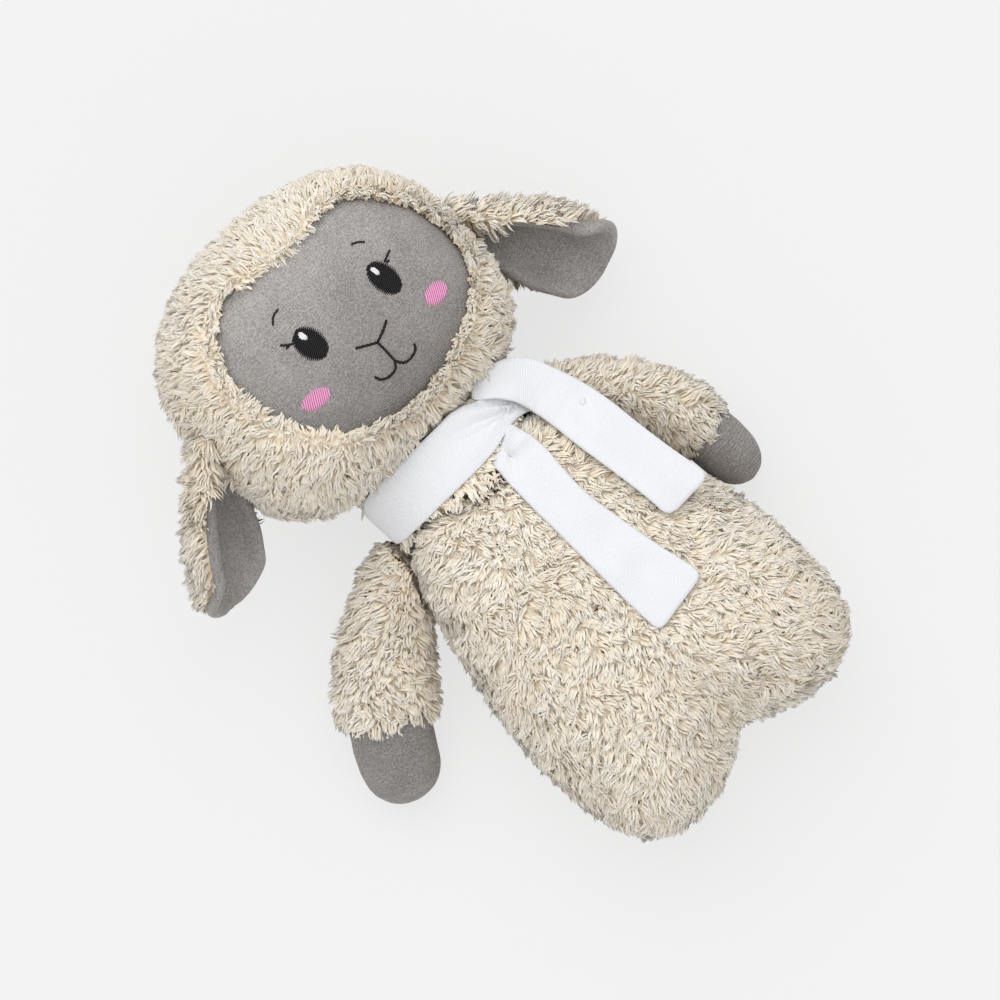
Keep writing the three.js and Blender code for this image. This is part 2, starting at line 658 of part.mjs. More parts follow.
function earSheet(pose, from, to, taper) {
  const { curve, hollowAt } = earFrame(pose);
  const rows = earWidthShares.map(([share]) => share);
  const columns = [-1, -0.66, -0.33, 0, 0.33, 0.66, 1];
  const grid = (lift) => rows.map((share) => {
    const along = curve.getTangentAt(share);
    const hollow = hollowAt(along);
    const across = new THREE.Vector3().crossVectors(along, hollow);
    const bend = (earHalfWidth * lerpShares(earWidthShares, share)) / pose.curl;
    const radius = bend - lift * (taper ? lerpShares(earRootTaperShares, share) : 1);
    return columns.map((column) => {
      const turn = pose.curl * column;
      const near = lift < 0 ? THREE.MathUtils.lerp(radius, bend, edgePinchShare * column ** 4) : radius;
      return curve.getPointAt(share)
        .addScaledVector(across, Math.sin(turn) * near)
        .addScaledVector(hollow, bend - Math.cos(turn) * near);
    });
  });
  return sheet(grid(to), grid(from));
}

function earPieces(name, pose) {
  const inner = earSheet(pose, seamGap, seamGap + velboaThickness / 2, false);
  const outer = earSheet(pose, 0, -earFleeceThickness, true);
  return [
    mesh(`${name}_ear_outer`, outer, fleeceLook),
    mesh(`${name}_ear_inner`, inner, velboaLook),
  ];
}

// An upright tube between the torso and the head, before they cut it.
function neckTube(inset) {
  const loops = [neckStart, neckJointHeight, neckEnd].map((y) => circleCorners(32).map(([across, up]) => {
    const height = neckCentreHeight + up * (neckHalfDepth - inset);
    return new THREE.Vector3(across * (neckHalfWidth - inset), y, height);
  }));
  const middleAt = (y) => new THREE.Vector3(0, y, neckCentreHeight);
  return solidOf(closedLoft(middleAt(neckStart), loops, middleAt(neckEnd)));
}

function neckPieces() {
  const gusset = neckTube(0).subtract(neckTube(fleeceThickness)).subtract(torsoRoom).subtract(headRoom);
  const filling = neckTube(fleeceThickness + seamGap).subtract(torsoRoom).subtract(headRoom);
  return [
    mesh('neck_gusset', geometryOf(gusset), fleeceLook),
    mesh('neck_filling', geometryOf(filling), fillingLook),
  ];
}

function scarfBand() {
  const gatherTurn = 0.85;
  const grid = (lift) => Array.from({ length: 32 }, (_, n) => {
    const turn = (2 * Math.PI * n) / 32;
    const reach = neckHalfWidth + seamGap + lift;
    const depth = neckHalfDepth + seamGap + lift;
    const x = Math.cos(turn) * reach;
    const away = Math.atan2(Math.sin(turn - gatherTurn), Math.cos(turn - gatherTurn));
    const frontness = THREE.MathUtils.smoothstep(Math.sin(turn), -0.2, 0.6);
    const spread = THREE.MathUtils.lerp(bandBackShare, 1, frontness);
    const gather = spread - bandGatherShare * Math.exp(-((away / 0.3) ** 2));
    return [-0.5, -0.17, 0.17, 0.5].map((share) => {
      const y = scarfBandHeight + bandSlopeShare * x * frontness + share * scarfBandWidth * gather;
      return new THREE.Vector3(x, y, neckCentreHeight + Math.sin(turn) * depth);
    });
  });
  const band = solidOf(sheet(grid(jerseyThickness), grid(0), true)).subtract(torsoRoom).subtract(headRoom);
  return mesh('scarf_band', geometryOf(band), jerseyLook);
}

// Height of the scarf's band over the seam plane where x lies within it.
function bandHeight(x) {
  const reach = neckHalfWidth + 2 * seamGap + jerseyThickness;
  const within = Math.sqrt(Math.max(0.2, 1 - (x / reach) ** 2));
  return neckCentreHeight + (neckHalfDepth + 2 * seamGap + jerseyThickness) * within;
}

// Height of the arm's upper side over the floor, or zero beside the arm.
function armHeight(pose, x, y) {
  const { roll, at } = armFrame(pose);
  const halfAcross = Math.hypot(armHalfWidth * Math.cos(roll), armHalfDepth * Math.sin(roll));
  const halfUp = Math.hypot(armHalfWidth * Math.sin(roll), armHalfDepth * Math.cos(roll));
  const heights = Array.from({ length: 25 }, (_, n) => {
    const share = (n / 24) * wristShare;
    const middle = at(share).middle;
    const swell = lerpShares(sleeveSwellShares, share);
    const out = Math.hypot(x - middle.x, y - middle.y) / (halfAcross * swell);
    return out < 1 ? middle.z + halfUp * swell * Math.sqrt(1 - out ** 2) : 0;
  });
  return Math.max(...heights);
}

function torsoHeight(x, y) {
  return heightOn(torsoForm, 0, x * tailFollowShare, y);
}

// A strip of jersey from a height down, with its edges from a table, that lies on the given surface.
function strip(top, length, x, table, surface, rows) {
  const columns = [0, 0.17, 0.34, 0.5, 0.66, 0.83, 1];
  const grid = (lift) => Array.from({ length: rows + 1 }, (_, n) => {
    const way = n / rows;
    const y = top - way * length;
    const [left, right] = [lerpShares(table, way, 1), lerpShares(table, way, 2)];
    return columns.map((share) => {
      const across = x + THREE.MathUtils.lerp(left, right, share) * scarfTailWidth;
      return new THREE.Vector3(across, y, surface(across, y) + lift);
    });
  });
  return sheet(grid(drapeGap + jerseyThickness), grid(drapeGap));
}

// The cloth lies on what is under it as far as a fold line, and slopes evenly down to the side past it.
function drape(surface, foldX, x, y) {
  return surface(Math.min(x, foldX), y) - drapeSlopeShare * Math.max(0, x - foldX);
}

function leftDrape(x, y) {
  const bandBottom = scarfBandHeight - scarfBandWidth / 2;
  const onBand = THREE.MathUtils.smoothstep(y, bandBottom - scarfBandWidth * 0.6, bandBottom);
  const under = (px, py) => {
    const torso = torsoHeight(px, py);
    return Math.max(torso, THREE.MathUtils.lerp(torso, bandHeight(px), onBand));
  };
  const foldX = THREE.MathUtils.lerp(scarfLeftFoldX, scarfNeckFoldX, onBand);
  return Math.max(drape(under, foldX, x, y), armHeight(armPoses.left, x, y));
}

// The right tail starts as high as the band's cloth, just below it, and settles on the belly.
function rightDrape(x, y) {
  const torso = torsoHeight(x, y);
  const onRoot = THREE.MathUtils.smoothstep(y, scarfRightTailTop - scarfBandWidth, scarfRightTailTop);
  const rootHeight = neckCentreHeight + neckHalfDepth;
  return Math.max(torso, THREE.MathUtils.lerp(torso, rootHeight, onRoot));
}

function scarfCrossing() {
  const length = scarfCrossingLength;
  const shape = strip(scarfCrossingTop, length, scarfCrossingX, crossingEdgeShares, leftDrape, 9);
  return mesh('scarf_crossing', geometryOf(solidOf(shape).subtract(headRoom)), jerseyLook);
}

// A small disc of thread that lies flat on the crossing, near its lower end.
function scarfTack() {
  const x = scarfLeftTailX - tackRadius;
  const y = scarfCrossingTop - scarfCrossingLength + 2 * tackRadius;
  const rise = (dx, dy) => leftDrape(x + dx, y + dy) - leftDrape(x - dx, y - dy);
  const facing = new THREE.Vector3(-rise(tackRadius, 0), -rise(0, tackRadius), 2 * tackRadius).normalize();
  const upright = new THREE.Quaternion().setFromUnitVectors(new THREE.Vector3(0, 1, 0), facing);
  const disc = new THREE.CylinderGeometry(tackRadius, tackRadius, tackHeight, 10).applyQuaternion(upright);
  const seat = new THREE.Vector3(x, y, leftDrape(x, y) + drapeGap + jerseyThickness);
  seat.addScaledVector(facing, tackHeight / 2 + 2 * seamGap);
  return mesh('scarf_tack', disc.translate(seat.x, seat.y, seat.z), whiteThreadLook);
}

function scarfPieces() {
  const leftTop = scarfCrossingTop - scarfCrossingLength - hingeGap;
  const rightTop = scarfRightTailTop;
  const left = strip(leftTop, scarfLeftTailLength, scarfLeftTailX, leftTailEdgeShares, leftDrape, 8);
  const right = strip(rightTop, scarfRightTailLength, scarfRightTailX, rightTailEdgeShares, rightDrape, 12);
  return [
    scarfBand(),
    scarfCrossing(),
    scarfTack(),
    mesh('scarf_left_tail', left, jerseyLook),
    mesh('scarf_right_tail', right, jerseyLook),
  ];
}

const sheep = new THREE.Group();
const head = new THREE.Group();
head.applyMatrix4(headMatrix);
head.add(...headPieces(), ...embroidery());
sheep.add(...torsoPieces(), ...neckPieces(), head, ...scarfPieces());
for (const name of ['right', 'left']) {
  sheep.add(...armPieces(name, armPoses[name]), ...earPieces(name, earPoses[name]));
}

export default sheep;
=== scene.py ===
"""Looks of a plush sheep: curly fleece, grey velboa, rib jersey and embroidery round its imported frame."""

import logging
import math
from collections.abc import Callable, Sequence
from dataclasses import dataclass, field
from enum import Enum

import bpy
import numpy as np
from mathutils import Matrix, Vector, noise
from mathutils.bvhtree import BVHTree
from mathutils.kdtree import KDTree


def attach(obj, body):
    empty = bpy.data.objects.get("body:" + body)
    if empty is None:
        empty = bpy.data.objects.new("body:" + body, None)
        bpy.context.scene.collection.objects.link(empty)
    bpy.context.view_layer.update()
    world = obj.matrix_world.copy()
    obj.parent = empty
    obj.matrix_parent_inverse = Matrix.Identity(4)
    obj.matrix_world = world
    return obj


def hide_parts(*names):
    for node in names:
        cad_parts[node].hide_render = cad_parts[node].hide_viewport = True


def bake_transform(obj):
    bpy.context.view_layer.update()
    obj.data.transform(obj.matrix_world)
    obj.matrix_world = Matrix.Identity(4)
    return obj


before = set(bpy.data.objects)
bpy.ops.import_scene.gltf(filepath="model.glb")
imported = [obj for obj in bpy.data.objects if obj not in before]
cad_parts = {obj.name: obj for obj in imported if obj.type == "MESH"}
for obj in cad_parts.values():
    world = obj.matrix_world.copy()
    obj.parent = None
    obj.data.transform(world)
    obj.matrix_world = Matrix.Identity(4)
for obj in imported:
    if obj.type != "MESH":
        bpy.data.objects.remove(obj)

logging.basicConfig(level=logging.INFO, format="%(name)s: %(message)s")
log = logging.getLogger("sheep")

MM = 0.001
SEED = 20417
STRAND_MAP = "OFBake"
CLOTH_MAP = "cloth"

Colour = tuple[float, float, float]


class Side(Enum):
    """The sheep's own right or left, with the sign of X there."""

    RIGHT = -1
    LEFT = 1

    @property
    def word(self) -> str:
        """The side's name as it stands in a piece's name."""
        return self.name.lower()


# ---- numbers ----


def srgb(red: int, green: int, blue: int) -> Colour:
    """A screen colour as the linear colour that a shader takes.

    Args:
        red, green, blue: the screen colour, from 0 to 255.

    Returns:
        The linear colour.
    """

    def linear(value: int) -> float:
        """One channel's linear value."""
        share = value / 255
        return share / 12.92 if share <= 0.04045 else ((share + 0.055) / 1.055) ** 2.4

    return linear(red), linear(green), linear(blue)


def unit(vectors: np.ndarray) -> np.ndarray:
    """Vectors along the last axis, each made one long."""
    return vectors / np.maximum(np.linalg.norm(vectors, axis=-1, keepdims=True), 1e-12)


def smooth(value: np.ndarray, start: float, end: float) -> np.ndarray:
    """A soft step from 0 at start to 1 at end."""
    share = np.clip((value - start) / (end - start), 0, 1)
    return share * share * (3 - 2 * share)


def turned(vectors: np.ndarray, axes: np.ndarray, angles: np.ndarray) -> np.ndarray:
    """Vectors turned about unit axes that they stand square to.

    Args:
        vectors: rows of vectors.
        axes: a unit axis for each row.
        angles: an angle for each row, in radians.

    Returns:
        The turned vectors.
    """
    cosine, sine = np.cos(angles)[:, None], np.sin(angles)[:, None]
    return vectors * cosine + np.cross(axes, vectors) * sine


def field_noise(points: np.ndarray, size: float, shift: float = 0.0) -> np.ndarray:
    """Smooth noise from about -1 to 1 at each point, whose lumps are about that size."""
    scaled = points / size + shift
    return np.array([noise.noise(Vector(point)) for point in scaled])


def reach_along(places: np.ndarray) -> np.ndarray:
    """How far along a line each of its places lies."""
    return np.append(0, np.cumsum(np.linalg.norm(np.diff(places, axis=0), axis=1)))


def placed(along: np.ndarray | float, reach: np.ndarray, line: np.ndarray) -> np.ndarray:
    """Places at distances along a line whose own places lie at the given reach."""
    return np.stack([np.interp(along, reach, column) for column in line.T], axis=-1)


# ---- meshes ----


def new_object(name: str, data: bpy.types.ID) -> bpy.types.Object:
    """An object in the scene with this data, such as a mesh or a lamp.

    Args:
        name: its name.
        data: what it shows.

    Returns:
        The new object.
    """
    made = bpy.data.objects.new(name, data)
    bpy.context.scene.collection.objects.link(made)
    return made


def mesh_object(name: str, points: np.ndarray, faces: np.ndarray) -> bpy.types.Object:
    """A smooth shaded object from rows of points and rows of corner numbers.

    Args:
        name: the piece's name.
        points: its points, in metres.
        faces: three or four corner numbers for each face.

    Returns:
        The new object.
    """
    mesh = bpy.data.meshes.new(name)
    count, corners = faces.shape
    mesh.vertices.add(len(points))
    mesh.vertices.foreach_set("co", points.astype(np.float32).ravel())
    mesh.loops.add(count * corners)
    mesh.loops.foreach_set("vertex_index", faces.astype(np.int32).ravel())
    mesh.polygons.add(count)
    mesh.polygons.foreach_set("loop_start", np.arange(0, count * corners, corners, dtype=np.int32))
    mesh.update(calc_edges=True)
    mesh.shade_smooth()
    return new_object(name, mesh)


def choose(obj: bpy.types.Object) -> None:
    """Makes one object the selected and active one.

    Args:
        obj: the object.
    """
    bpy.ops.object.select_all(action="DESELECT")
    obj.select_set(True)
    bpy.context.view_layer.objects.active = obj


def apply_modifier(obj: bpy.types.Object, kind: str, **settings: object) -> None:
    """Adds one modifier with these settings and applies it.

    Args:
        obj: the piece.
        kind: the modifier's type.
        settings: its settings.
    """
    choose(obj)
    modifier = obj.modifiers.new(kind.lower(), kind)
    for name, value in settings.items():
        setattr(modifier, name, value)
    bpy.ops.object.modifier_apply(modifier=modifier.name)


def rows_of(items: bpy.types.bpy_prop_collection, name: str, kind: type = np.float32) -> np.ndarray:
    """One attribute of a mesh's vertices or triangles, in rows of three.

    Args:
        items: the vertices or triangles.
        name: the attribute.
        kind: the type of its numbers.

    Returns:
        The rows.
    """
    values = np.empty(len(items) * 3, kind)
    items.foreach_get(name, values)
    return values.reshape(-1, 3)


def vertex_arrays(obj: bpy.types.Object) -> tuple[np.ndarray, np.ndarray]:
    """The places and normals of an object's vertices."""
    vertices = obj.data.vertices
    return rows_of(vertices, "co").astype(float), rows_of(vertices, "normal").astype(float)


def triangles_of(obj: bpy.types.Object) -> np.ndarray:
    """The three corner numbers of each of an object's triangles."""
    obj.data.calc_loop_triangles()
    return rows_of(obj.data.loop_triangles, "vertices", np.int32)


def node_arrays(name: str) -> tuple[np.ndarray, np.ndarray]:
    """The points and triangles of one of the frame's solids."""
    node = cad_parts[name]
    return vertex_arrays(node)[0], triangles_of(node)


def joined_solids(names: Sequence[str]) -> tuple[np.ndarray, np.ndarray]:
    """The points and triangles of several solids, one after the other.

    Args:
        names: the solids' names.

    Returns:
        Their points, in metres, and three corner numbers for each triangle.
    """
    points, triangles, first = [], [], 0
    for name in names:
        solid, faces = node_arrays(name)
        points.append(solid)
        triangles.append(faces + first)
        first += len(solid)
    return np.vstack(points), np.vstack(triangles)


def envelope(name: str, solids: Sequence[str], voxel: float, rounds: int) -> bpy.types.Object:
    """One even, smooth skin round several solids, such as the panels and the filling of a limb.

    Args:
        name: the new piece's name.
        solids: the frame's solids that it wraps.
        voxel: the size of its faces, in metres.
        rounds: how many times it is smoothed.

    Returns:
        The new object.
    """
    made = mesh_object(name, *joined_solids(solids))
    apply_modifier(made, "WELD", merge_threshold=0.02 * MM)
    apply_modifier(made, "REMESH", mode="VOXEL", voxel_size=voxel, use_smooth_shade=True)
    apply_modifier(made, "SMOOTH", factor=0.5, iterations=rounds)
    return made


def set_points(obj: bpy.types.Object, points: np.ndarray) -> None:
    """Moves an object's vertices to these places."""
    obj.data.vertices.foreach_set("co", points.astype(np.float32).ravel())
    obj.data.update()


def sink(obj: bpy.types.Object, depth: float | np.ndarray) -> None:
    """Draws an object's surface in along its normals, by one depth or by one for each vertex."""
    points, normals = vertex_arrays(obj)
    set_points(obj, points - normals * np.reshape(depth, (-1, 1)))


def edit_whole(obj: bpy.types.Object, operator: Callable, **settings: object) -> None:
    """Runs one of Blender's mesh operators on the whole of an object.

    Args:
        obj: the piece.
        operator: the operator.
        settings: its settings.
    """
    choose(obj)
    bpy.ops.object.mode_set(mode="EDIT")
    bpy.ops.mesh.select_all(action="SELECT")
    operator(**settings)
    bpy.ops.object.mode_set(mode="OBJECT")


def outward(obj: bpy.types.Object) -> None:
    """Turns the faces of a closed mesh outwards."""
    edit_whole(obj, bpy.ops.mesh.normals_make_consistent, inside=False)


def keep_where(obj: bpy.types.Object, test: Callable[[np.ndarray], np.ndarray]) -> None:
    """Deletes the vertices whose places fail a test.

    Args:
        obj: the piece.
        test: tells which of the given places stay.
    """
    points, _ = vertex_arrays(obj)
    kept = test(points)
    choose(obj)
    bpy.ops.object.mode_set(mode="EDIT")
    bpy.ops.mesh.select_mode(type="VERT")
    bpy.ops.mesh.select_all(action="DESELECT")
    bpy.ops.object.mode_set(mode="OBJECT")
    obj.data.vertices.foreach_set("select", ~kept)
    bpy.ops.object.mode_set(mode="EDIT")
    bpy.ops.mesh.delete(type="VERT")
    bpy.ops.object.mode_set(mode="OBJECT")


def copy_of(obj: bpy.types.Object, name: str) -> bpy.types.Object:
    """A copy of an object with a mesh of its own.

    Args:
        obj: what is copied.
        name: the copy's name.

    Returns:
        The copy.
    """
    mesh = obj.data.copy()
    mesh.name = name
    return new_object(name, mesh)


def face_map(obj: bpy.types.Object, name: str, places: np.ndarray) -> None:
    """Gives an object a UV map from one place for each vertex.

    Args:
        obj: the piece.
        name: the map's name.
        places: the place on the map of each vertex.
    """
    corners = np.empty(len(obj.data.loops), np.int32)
    obj.data.loops.foreach_get("vertex_index", corners)
    layer = obj.data.uv_layers.new(name=name, do_init=False)
    layer.uv.foreach_set("vector", places[corners].astype(np.float32).ravel())


def grid_faces(rows: int, columns: int, closed: bool = False) -> np.ndarray:
    """The four-sided faces between rows of points, each of which may close to a ring.

    Args:
        rows, columns: how many rows there are, and how many points in each.
        closed: whether each row is a ring.

    Returns:
        Four corner numbers for each face.
    """
    row, column = np.meshgrid(np.arange(rows - 1), np.arange(columns - (not closed)), indexing="ij")
    here, after = row * columns + column, row * columns + (column + 1) % columns
    return np.stack([here, here + columns, after + columns, after], axis=-1).reshape(-1, 4)


def section(across: np.ndarray, above: np.ndarray, sides: int) -> np.ndarray:
    """Rings of that many corners, each from the two half axes of its section."""
    turns = 2 * math.pi * np.arange(sides) / sides
    return across[..., None, :] * np.cos(turns)[:, None] + above[..., None, :] * np.sin(turns)[:, None]


def closed_tubes(name: str, tubes: Sequence[np.ndarray], reaches: Sequence[np.ndarray]) -> bpy.types.Object:
    """Tubes closed at both ends, with a map that runs round and along each.

    Args:
        name: the piece's name.
        tubes: the rings of points of each tube.
        reaches: how far along its tube each ring lies.

    Returns:
        The new object.
    """
    maps, faces, first = [], [], 0
    for tube, reach in zip(tubes, reaches):
        rings, sides, _ = tube.shape
        around = np.arange(sides) / sides
        maps.append(np.stack(np.broadcast_arrays(around, reach[:, None]), axis=-1).reshape(-1, 2))
        quads = first + grid_faces(rings, sides, closed=True)
        faces += [quads[:, [0, 1, 3]], quads[:, [1, 2, 3]]]
        for end, order in ((0, 1), (rings - 1, -1)):
            corners = first + end * sides + np.arange(sides)[::order]
            faces.append(np.array([[corners[0], *corners[n : n + 2]] for n in range(1, sides - 1)]))
        first += rings * sides
    made = mesh_object(name, np.vstack([tube.reshape(-1, 3) for tube in tubes]), np.vstack(faces))
    face_map(made, CLOTH_MAP, np.vstack(maps))
    return made


def smooth_line(places: np.ndarray, steps: int) -> np.ndarray:
    """Points along a smooth curve through the given places.

    Args:
        places: what the curve goes through.
        steps: about how many points it has.

    Returns:
        The curve's points.
    """
    if len(places) == 2:
        return places[0] + np.linspace(0, 1, steps)[:, None] * (places[1] - places[0])
    ends = np.vstack([2 * places[0] - places[1], places, 2 * places[-1] - places[-2]])
    share = np.linspace(0, 1, max(2, steps // (len(places) - 1)))[:, None]
    spans = []
    for before, start, end, after in zip(ends, ends[1:], ends[2:], ends[3:]):
        bend, twist = 2 * before - 5 * start + 4 * end - after, 3 * start - before - 3 * end + after
        spans.append(0.5 * (2 * start + (end - before) * share + bend * share**2 + twist * share**3))
    return np.vstack(spans)


# ---- finishes ----


class Graph:
    """A material's nodes, placed by short calls."""

    def __init__(self, name: str) -> None:
        """Starts a material with one principled shader.

        Args:
            name: the material's name.
        """
        self.material = bpy.data.materials.new(name)
        self.material.use_nodes = True
        self.tree = self.material.node_tree
        self.shader = self.tree.nodes["Principled BSDF"]

    def feed(self, socket: bpy.types.NodeSocket, value: object) -> None:
        """Links another node's output to a socket, or sets the socket to a value.

        Args:
            socket: the socket.
            value: an output, a colour or a number.
        """
        if isinstance(value, bpy.types.NodeSocket):
            self.tree.links.new(value, socket)
        elif isinstance(value, tuple) and len(value) == 3:
            socket.default_value = (*value, 1)
        else:
            socket.default_value = value

    def add(
        self, kind: str, inputs: dict[str | int, object] | None = None, **settings: object
    ) -> bpy.types.Node:
        """Adds a node.

        Args:
            kind: the node's type.
            inputs: a value, a colour or another node's output for each of its sockets.
            settings: the node's own settings.

        Returns:
            The new node.
        """
        node = self.tree.nodes.new(kind)
        for name, value in settings.items():
            setattr(node, name, value)
        for socket, value in (inputs or {}).items():
            self.feed(node.inputs[socket], value)
        return node

    def math(self, operation: str, *values: object, use_clamp: bool = False) -> bpy.types.NodeSocket:
        """A sum, product or other function of one to three values."""
        inputs = dict(enumerate(values))
        return self.add("ShaderNodeMath", inputs, operation=operation, use_clamp=use_clamp).outputs[0]

    def wave(self, angle: bpy.types.NodeSocket) -> bpy.types.NodeSocket:
        """A wave from 0 to 1."""
        return self.math("MULTIPLY_ADD", self.math("SINE", angle), 0.5, 0.5)

    def mix(self, share: object, first: object, second: object, how: str = "MIX") -> bpy.types.NodeSocket:
        """Two colours mixed by a share."""
        inputs = {0: share, 6: first, 7: second}
        return self.add("ShaderNodeMix", inputs, data_type="RGBA", blend_type=how).outputs[2]

    def noise(self, place: bpy.types.NodeSocket, size: float, detail: float = 2.0) -> bpy.types.NodeSocket:
        """Noise whose lumps are about that size, in metres."""
        node = self.add("ShaderNodeTexNoise", {"Vector": place, "Scale": 1 / size, "Detail": detail})
        return node.outputs["Fac"]

    def object_place(self) -> bpy.types.NodeSocket:
        """Places on the piece, in metres."""
        return self.add("ShaderNodeTexCoord").outputs["Object"]

    def map_place(self, name: str = CLOTH_MAP) -> tuple[bpy.types.NodeSocket, bpy.types.NodeSocket]:
        """Places across and along one of the piece's maps."""
        split = self.add("ShaderNodeSeparateXYZ", {0: self.add("ShaderNodeUVMap", uv_map=name).outputs[0]})
        return split.outputs["X"], split.outputs["Y"]

    def mottle(
        self,
        group: bpy.types.NodeTree,
        place: bpy.types.NodeSocket,
        patches: float,
        specks: float,
        share: float,
    ) -> bpy.types.NodeSocket:
        """The shared mottle, with so many patches and specks to a metre."""
        sizes = {"Patches per metre": patches, "Specks per metre": specks, "Speck share": share}
        return self.add("ShaderNodeGroup", {"Place": place, **sizes}, node_tree=group).outputs[0]

    def dress(self, **sockets: object) -> None:
        """Sets the shader's sockets, whose words are joined by underscores here."""
        for name, value in sockets.items():
            self.feed(self.shader.inputs[name.replace("_", " ")], value)

    def bump(self, height: bpy.types.NodeSocket, depth: float, strength: float = 1.0) -> bpy.types.NodeSocket:
        """A normal from a height of 0 to 1 that stands for this depth, in metres."""
        node = self.add("ShaderNodeBump", {"Height": height, "Distance": depth, "Strength": strength})
        return node.outputs[0]


def mottle_group() -> bpy.types.NodeTree:
    """The shared soft mottle of brush-marked cloth.

    Returns:
        A group that mixes patches and specks of the two given sizes into one mask.
    """
    group = bpy.data.node_groups.new("brushed_mottle", "ShaderNodeTree")
    face = group.interface
    face.new_socket("Place", in_out="INPUT", socket_type="NodeSocketVector")
    for name in ("Patches per metre", "Specks per metre", "Speck share"):
        face.new_socket(name, in_out="INPUT", socket_type="NodeSocketFloat")
    face.new_socket("Mask", in_out="OUTPUT", socket_type="NodeSocketFloat")
    start, end = group.nodes.new("NodeGroupInput"), group.nodes.new("NodeGroupOutput")
    mixed = group.nodes.new("ShaderNodeMix")
    group.links.new(start.outputs["Speck share"], mixed.inputs[0])
    for name, socket in (("Patches per metre", 2), ("Specks per metre", 3)):
        lumps = group.nodes.new("ShaderNodeTexNoise")
        group.links.new(start.outputs["Place"], lumps.inputs["Vector"])
        group.links.new(start.outputs[name], lumps.inputs["Scale"])
        group.links.new(lumps.outputs["Fac"], mixed.inputs[socket])
    group.links.new(mixed.outputs[0], end.inputs["Mask"])
    return group


@dataclass(frozen=True)
class FleeceFinish:
    """Curly cream pile: painted darker and warmer at its roots as shade deep in the pile, pale and a little
    glossy at its tips.
    """

    root: Colour = srgb(252, 233, 202)
    middle: Colour = srgb(252, 244, 227)
    tip: Colour = srgb(253, 249, 240)
    shade: Colour = srgb(250, 234, 211)

    def pile(self) -> bpy.types.Material:
        """The material of the strands, which runs along each from its root.

        Returns:
            The material.
        """
        graph = Graph("fleece_pile")
        strand, along = graph.map_place(STRAND_MAP)
        # Painted shade: the strands darken and warm from tip to root, where the pile shades itself.
        ramp = graph.add("ShaderNodeValToRGB", {0: along})
        stops = ramp.color_ramp.elements
        stops[0].position, stops[0].color = 0.0, (*self.root, 1)
        stops[1].position, stops[1].color = 0.9, (*self.tip, 1)
        middle = stops.new(0.42)
        middle.color = (*self.middle, 1)
        worn = graph.math("MULTIPLY", strand, 0.7)
        colour = graph.mix(worn, ramp.outputs[0], self.shade, "MULTIPLY")
        rough = graph.math("SUBTRACT", 0.92, graph.math("MULTIPLY", along, 0.2))
        graph.dress(Base_Color=colour, Roughness=rough, Specular_IOR_Level=0.25)
        graph.dress(Sheen_Weight=0.25, Sheen_Roughness=0.5, Sheen_Tint=self.tip)
        return graph.material

    def ground(self, mottle: bpy.types.NodeTree) -> bpy.types.Material:
        """The material of the knitted ground that the pile stands on.

        Args:
            mottle: the shared mottle.

        Returns:
            The material.
        """
        graph = Graph("fleece_ground")
        place = graph.object_place()
        mask = graph.mottle(mottle, place, patches=160.0, specks=900.0, share=0.5)
        colour = graph.mix(mask, self.middle, self.tip)
        graph.dress(Base_Color=colour, Roughness=0.95, Specular_IOR_Level=0.2)
        graph.dress(Normal=graph.bump(graph.noise(place, 1.6 * MM, 3.0), 1.2 * MM))
        return graph.material


@dataclass(frozen=True)
class VelboaFinish:
    """Grey short pile with fine knit lines and soft brush marks, with painted light and shade along its map:
    lighter towards the top of the face and the ears' tips and rims, darker low on the face, in the ear
    hollows and on the mitten.
    """

    dark: Colour = srgb(150, 145, 142)
    light: Colour = srgb(199, 194, 191)
    # The tint of the painted shade at the dark end of the map.
    brushed: Colour = (0.64, 0.635, 0.63)
    line_pitch: float = 0.9 * MM

    def material(self, mottle: bpy.types.NodeTree) -> bpy.types.Material:
        """The material, whose knit lines run across the piece's own map and whose painted light and shade run
        along it.

        Args:
            mottle: the shared mottle.

        Returns:
            The material.
        """
        graph = Graph("velboa")
        place = graph.object_place()
        _, along = graph.map_place()
        mask = graph.mottle(mottle, place, patches=75.0, specks=1500.0, share=0.45)
        wobble = graph.math("MULTIPLY", graph.noise(place, 2.5 * MM), 0.9 * self.line_pitch)
        wobbly = graph.math("ADD", along, wobble)
        lines = graph.wave(graph.math("MULTIPLY", wobbly, 2 * math.pi / self.line_pitch))
        nap = graph.noise(place, 0.55 * MM, 2.0)
        height = graph.math("ADD", graph.math("MULTIPLY", lines, 0.5), nap)
        grain = graph.noise(place, 0.85 * MM, 1.0)
        grained = graph.math("ADD", mask, graph.math("MULTIPLY", grain, 1.6))
        mottled = graph.math("MULTIPLY_ADD", grained, 1.5, -1.45, use_clamp=True)
        colour = graph.mix(mottled, self.dark, self.light)
        colour = graph.mix(graph.math("MULTIPLY", lines, 0.18), colour, self.light)
        # Painted light and shade: lighter where the map runs high, such as the top of the face, darker where
        # it runs low, such as the lower face, the mitten and the ear hollows.
        lit_share = graph.math("MULTIPLY_ADD", along, 1 / (70 * MM), 0.5, use_clamp=True)
        shaded_colour = graph.mix(1.0, colour, self.brushed, "MULTIPLY")
        colour = graph.mix(lit_share, shaded_colour, colour)
        graph.dress(Base_Color=colour, Roughness=0.88, Specular_IOR_Level=0.2)
        graph.dress(Sheen_Weight=0.35, Sheen_Roughness=0.45, Sheen_Tint=srgb(225, 220, 216))
        graph.dress(Normal=graph.bump(height, 0.42 * MM))
        return graph.material


